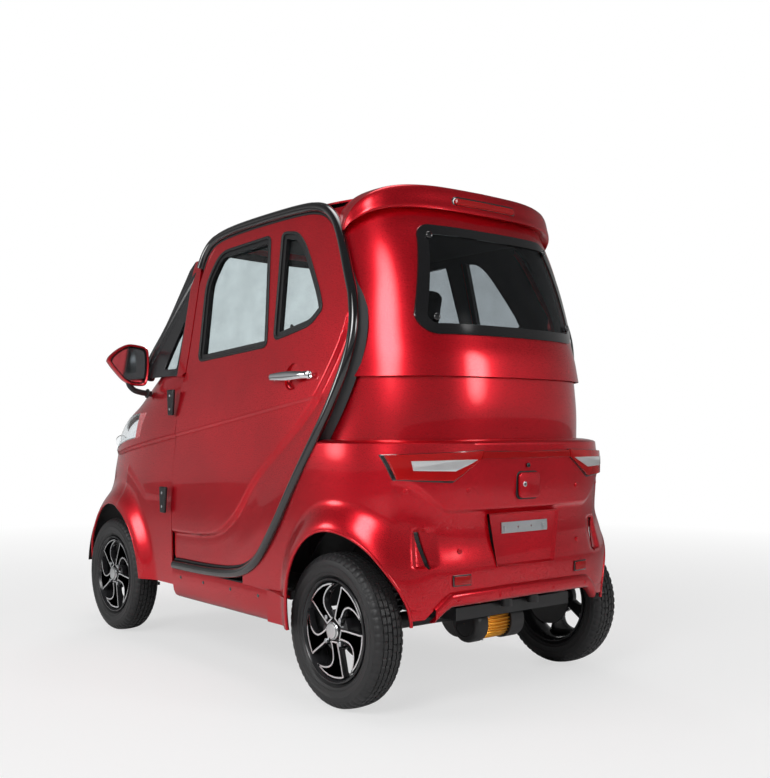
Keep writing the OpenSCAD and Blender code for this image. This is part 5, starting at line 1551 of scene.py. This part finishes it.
# Running gear: the frame, floor, axles and knuckles keep their built shape with painted steel.
# Coil springs wind round the dampers, and a cable loom runs to the motor.
frame_steel = plain_finish("frame_steel", (0.014, 0.014, 0.015, 1), 0.38, bump=0.2)
for name, finish in (("chassis_frame", frame_steel), ("floor_pan", satin_black),
                     ("battery_pack", satin_black), ("rear_axle", frame_steel),
                     ("front_axle", frame_steel), ("knuckle_left", frame_steel),
                     ("knuckle_right", frame_steel), ("tow_eyes", frame_steel)):
    nodes[name].data.materials.clear()
    nodes[name].data.materials.append(finish)
for place, y in (("front", -0.74), ("rear", 0.82)):
    for side, hand in ((1, "left"), (-1, "right")):
        coil = [(side * 0.296 + 0.034 * cos(a), y + 0.034 * sin(a), 0.285 + 0.14 * a / (2 * pi * 7))
                for a in np.linspace(0, 2 * pi * 7, 170)]
        done(hose(f"spring_{place}_{hand}", coil, 0.0048, sides=8), frame_steel, "frame_black", "chassis")
for k, (dy, dz) in enumerate(((0.0, 0.0), (0.008, 0.006), (-0.006, 0.008))):
    loom = through([(0.02, 0.93 + dy, 0.29 + dz), (0.06, 0.96 + dy, 0.315 + dz), (0.09, 1.0 + dy, 0.31 + dz),
                    (0.085, 1.02 + dy, 0.285 + dz)], 8)
    done(hose(f"motor_cable_{k}", loom, 0.004), seal_rubber, "trim_black", "chassis")

# Cabin lining: a grey headliner under the roof, dark liners on the doors and inside the rear shell,
# each with a hole for its windows.
headliner_grey = plain_finish("headliner_grey", (0.11, 0.112, 0.115, 1), 0.85, grain=1400.0, bump=0.3)
lining_dark = plain_finish("lining_dark", (0.03, 0.031, 0.033, 1), 0.7, grain=1100.0, bump=0.3)
headliner = draped("headliner",
                   [[(0.39 * s, y, roof_point(y, s)[2] - 0.03 - 0.035 * abs(s) ** 6)
                     for s in np.linspace(-1, 1, 41)]
                                 for y in np.linspace(-0.12, 0.77, 40)], outward=(0, 0, -1))
applied(headliner, "SOLIDIFY", thickness=0.006, offset=-1)
done(smoothed(headliner, 30), headliner_grey, "trim_black", "chassis")
lining = draped("rear_lining", [shell_row(z, -0.022) for z in np.linspace(1.0, 1.55, 24)], outward=(0, -1, 0))
applied(lining, "SOLIDIFY", thickness=0.004, offset=-1)
cut(lining, prism("lining_window", window_outline(0.012), 0.75, 1.3))
done(smoothed(lining, 30), lining_dark, "trim_black", "chassis")
jamb_line = [p for p in tube_line if p[0] > 0.35 and p[1] > 0.7]
for side, hand in ((1, "left"), (-1, "right")):
    jamb = draped(f"door_jamb_{hand}",
                  [[(side * (side_x(z) - 0.008 - 0.03 * t), y - 0.006 + 0.026 * t, z - 0.008 * t) for y,
                    z in jamb_line]
                                        for t in (0, 0.5, 1)], outward=(side, 0, 0))
    applied(jamb, "SOLIDIFY", thickness=0.003, offset=-1)
    done(smoothed(jamb, 40), lining_dark, "trim_black", "chassis")
    cover = side_sheet(f"cant_rail_cover_{hand}", side, 0.042, 0.004, -0.06, 0.7, 1.497, 1.59, columns=40,
                       rows=12)
    done(smoothed(cover, 30), lining_dark, "trim_black", "chassis")
    inner = side_sheet(f"door_{hand}_lining", side, 0.0305, 0.0035, -0.2, 0.85, 0.36, 1.57, columns=60,
                       rows=70)
    cut(inner, prism("lining_edge", shrunk(door_outline, 0.006), side * 0.3, side * 0.7, "x"),
        operation="INTERSECT")
    for outline in window_shapes.values():
        cut(inner, prism("lining_hole", shrunk(outline, 0.006), side * 0.3, side * 0.7, "x"))
    done(smoothed(inner, 30), lining_dark, "trim_black", f"door_{hand}")
    latch = joined(f"door_{hand}_window_knobs",
                   *[button("knob", (side * (side_x(z) - 0.036), y, z), 0.008, 0.006, (-side, 0, 0), 0.4)
                                                  for y, z in ((0.34, 1.165), (0.47, 1.19))])
    done(latch, gloss_black, "trim_black", f"door_{hand}")

# Seats: foam cushions in black fabric, inflated as cloth from the built blocks, then sewn in channels.
# A headrest sits on two steel posts.
def fabric(name, color):
    """Woven upholstery with fine ribs."""
    return plain_finish(name, color, 0.78, grain=1700.0, bump=0.5)


upholstery = fabric("black_upholstery", (0.02, 0.021, 0.023, 1))


def block(name, size, corner, turn, place):
    """A block with round corners, made flat, then turned about X and put in place."""
    bpy.ops.object.select_all(action="DESELECT")
    bpy.ops.mesh.primitive_cube_add(size=1)
    piece = bpy.context.object
    piece.name = name
    piece.data.transform(Matrix.Diagonal((*size, 1)))
    applied(piece, "BEVEL", width=corner, segments=5)
    piece.data.transform(Matrix.Translation(place) @ Matrix.Rotation(radians(turn), 4, "X"))
    return piece


def padded(piece, cap, replaced, body="chassis"):
    """Swells a block as cloth under pressure, holds every point within a cap, and finishes it."""
    applied(piece, "REMESH", mode="VOXEL", voxel_size=0.0068)
    rest = np.array([v.co for v in piece.data.vertices])
    only(piece)
    cloth = piece.modifiers.new("inflate", "CLOTH")
    cloth.settings.use_pressure = True
    cloth.settings.uniform_pressure_force = 4.0
    cloth.settings.effector_weights.gravity = 0.0
    cloth.settings.tension_stiffness = 12
    cloth.settings.quality = 4
    cloth.point_cache.frame_start, cloth.point_cache.frame_end = 1, 20
    for number in range(1, 21):
        bpy.context.scene.frame_set(number)
    bpy.ops.object.modifier_apply(modifier="inflate")
    bpy.context.scene.frame_set(1)
    moved_to = np.array([v.co for v in piece.data.vertices])
    step = moved_to - rest
    far = np.linalg.norm(step, axis=1, keepdims=True)
    piece.data.vertices.foreach_set("co",
                                    (rest + step * np.minimum(1, cap / np.maximum(far, 1e-9))).ravel())
    piece.data.update()
    applied(piece, "SUBSURF", levels=1, render_levels=1)
    bpy.ops.object.shade_smooth()
    done(piece, upholstery, "upholstery", body, *replaced)
    return piece


def channelled(piece, lines, across, depth, width):
    """Presses sewn channels into a cushion's upper side. Lines are places along one axis."""
    count = len(piece.data.vertices)
    points, facing = np.empty(count * 3, dtype=np.float32), np.empty(count * 3, dtype=np.float32)
    piece.data.vertices.foreach_get("co", points)
    piece.data.vertex_normals.foreach_get("vector", facing)
    points, facing = points.reshape(-1, 3), facing.reshape(-1, 3)
    along, face = np.array(across[0]), np.array(across[1])
    for place in lines:
        press = depth * np.exp(-((points @ along - place) / width) ** 2) * np.maximum(0, facing @ face)
        points = points - press[:, None] * face
    piece.data.vertices.foreach_set("co", points.astype(np.float32).ravel())
    piece.data.update()


seat = padded(block("driver_seat_cushion", (0.414, 0.45, 0.088), 0.03, 0, (0, 0.2725, 0.6505)), 0.012,
              ["seat_base"])
channelled(seat, (-0.12, 0.0, 0.12), (Vector((1, 0, 0)), Vector((0, 0, 1))), 0.008, 0.006)
channelled(seat, (0.12, 0.42), (Vector((0, 1, 0)), Vector((0, 0, 1))), 0.008, 0.006)
lean = Matrix.Translation((0, 0.405, 0.7006)) @ Matrix.Rotation(radians(78), 4, "X")
back_middle = lean @ Vector((0, 0.27, -0.049))
backrest = padded(block("driver_seat_back", (0.398, 0.49, 0.076), 0.03, 78, back_middle), 0.012,
                  ["seat_back"])
up, facing = (lean.to_3x3() @ Vector((0, 1, 0))), (lean.to_3x3() @ Vector((0, 0, 1)))
channelled(backrest, (-0.12, 0.0, 0.12), (Vector((1, 0, 0)), facing), 0.008, 0.006)
rest_middle = lean @ Vector((0, 0.602, -0.05))
padded(block("driver_headrest", (0.24, 0.132, 0.068), 0.03, 78, rest_middle), 0.01, [])
posts = joined("headrest_posts",
               *[hose("post", [lean @ Vector((x, 0.49, -0.05)), lean @ Vector((x, 0.6, -0.05))], 0.006)
                 for x in (-0.05, 0.05)])
done(posts, chrome, "chrome", "chassis")
bench = padded(block("rear_bench_cushion", (0.78, 0.325, 0.076), 0.03, 0, (0, 0.762, 0.6055)), 0.01,
               ["rear_seat_base"])
channelled(bench, (-0.26, 0.0, 0.26), (Vector((1, 0, 0)), Vector((0, 0, 1))), 0.008, 0.006)
bench_lean = Matrix.Translation((0, 0.862, 0.6619)) @ Matrix.Rotation(radians(80), 4, "X")
padded(block("rear_bench_back", (0.604, 0.286, 0.05), 0.022, 80, bench_lean @ Vector((0, 0.15, -0.036))),
       0.008, ["rear_seat_back"])

# Dashboard and steering: a moulded dark dashboard with a display and round air vents,
# and a rim wheel with three spokes on a tilted column. A round speaker stands on the shelf behind.
dash_section = through([(-0.5, 1.024), (-0.4, 1.034), (-0.3, 1.043), (-0.25, 1.045), (-0.222, 1.032),
                        (-0.213, 1.005), (-0.208, 0.95), (-0.205, 0.9),
                        (-0.213, 0.83), (-0.226, 0.772), (-0.26, 0.75), (-0.3, 0.732), (-0.37, 0.735),
                        (-0.435, 0.742)], 4)
dash = draped("dashboard_moulding",
              [[(x, y - 0.02 * (1 - (abs(x) / 0.425) ** 2), z) for y, z in dash_section]
               for x in np.linspace(-0.424, 0.424, 40)],
              outward=(0, 1, 0.3))
applied(dash, "SOLIDIFY", thickness=0.006, offset=-1)
done(smoothed(dash, 35), lining_dark, "trim_black", "chassis", "dashboard")
cluster = slab("instrument_hood", 0.3, 0.085, 0.07, 0.02, 0.006, (0, -0.262, 1.045))
done(cluster, satin_black, "trim_black", "chassis")
done(slab("instrument_display", 0.24, 0.055, 0.004, 0.008, 0.001, (0, -0.2265, 1.046)), gloss_black,
     "trim_black", "chassis")
vents = []
for x in (-0.33, -0.2, 0.2, 0.33):
    vents.append(hose("vent_ring",
                      [(x + 0.032 * cos(a), -0.219, 0.955 + 0.032 * sin(a))
                       for a in np.linspace(0, 2 * pi, 41)[:-1]], 0.004, closed=True))
    vents += [slab("vane", 0.056, 0.003, 0.012, 0.001, 0.0008, (x, -0.222, 0.955 + k * 0.014))
              for k in (-1, 0, 1)]
done(joined("dashboard_vents", *vents), satin_black, "trim_black", "chassis")
column = Matrix.Translation((0, -0.035, 0.925)) @ Matrix.Rotation(radians(-52), 4, "X")
rim_ring = hose("steering_rim",
                [column @ Vector((0.165 * cos(a), 0.165 * sin(a), 0))
                 for a in np.linspace(0, 2 * pi, 97)[:-1]], 0.0128, closed=True, sides=20)
spokes = []
for a in (90, 210, 330):
    spoke = slab("spoke", 0.03, 0.13, 0.01, 0.008, 0.003, (0, 0, 0))
    spoke.data.transform(column @ Matrix.Rotation(radians(a), 4,
                                                  "Z") @ Matrix.Translation((0.095, 0, -0.002)) @
                         Matrix.Rotation(pi / 2, 4, "Z") @ Matrix.Rotation(pi / 2, 4, "X"))
    spokes.append(spoke)
hub = block("hub", (0.1, 0.088, 0.036), 0.014, 0, (0, 0, 0))
hub.data.transform(column @ Matrix.Translation((0, 0, -0.004)))
shaft = hose("shaft", [column @ Vector((0, 0, z)) for z in (-0.235, -0.02)], 0.0118, sides=20)
steering = joined("steering_wheel_moulding", rim_ring, *spokes, hub, shaft)
done(smoothed(steering, 40), satin_black, "trim_black", "steering", "steering_wheel")
shroud = hose("column_shroud", [column @ Vector((0, 0, z)) for z in (-0.255, -0.2, -0.13, -0.132)], 0.036,
              sides=24)
done(shroud, satin_black, "trim_black", "chassis")
speaker = button("speaker_grille", (0.3, 0.93, 1.17), 0.05, 0.012, (0.4, 1, 0.1), 0.3)
done(speaker, cap_silver, "trim_black", "chassis")
done(button("speaker_housing", (0.296, 0.918, 1.169), 0.058, 0.014, (0.4, 1, 0.1), 0.4), satin_black,
     "trim_black", "chassis")
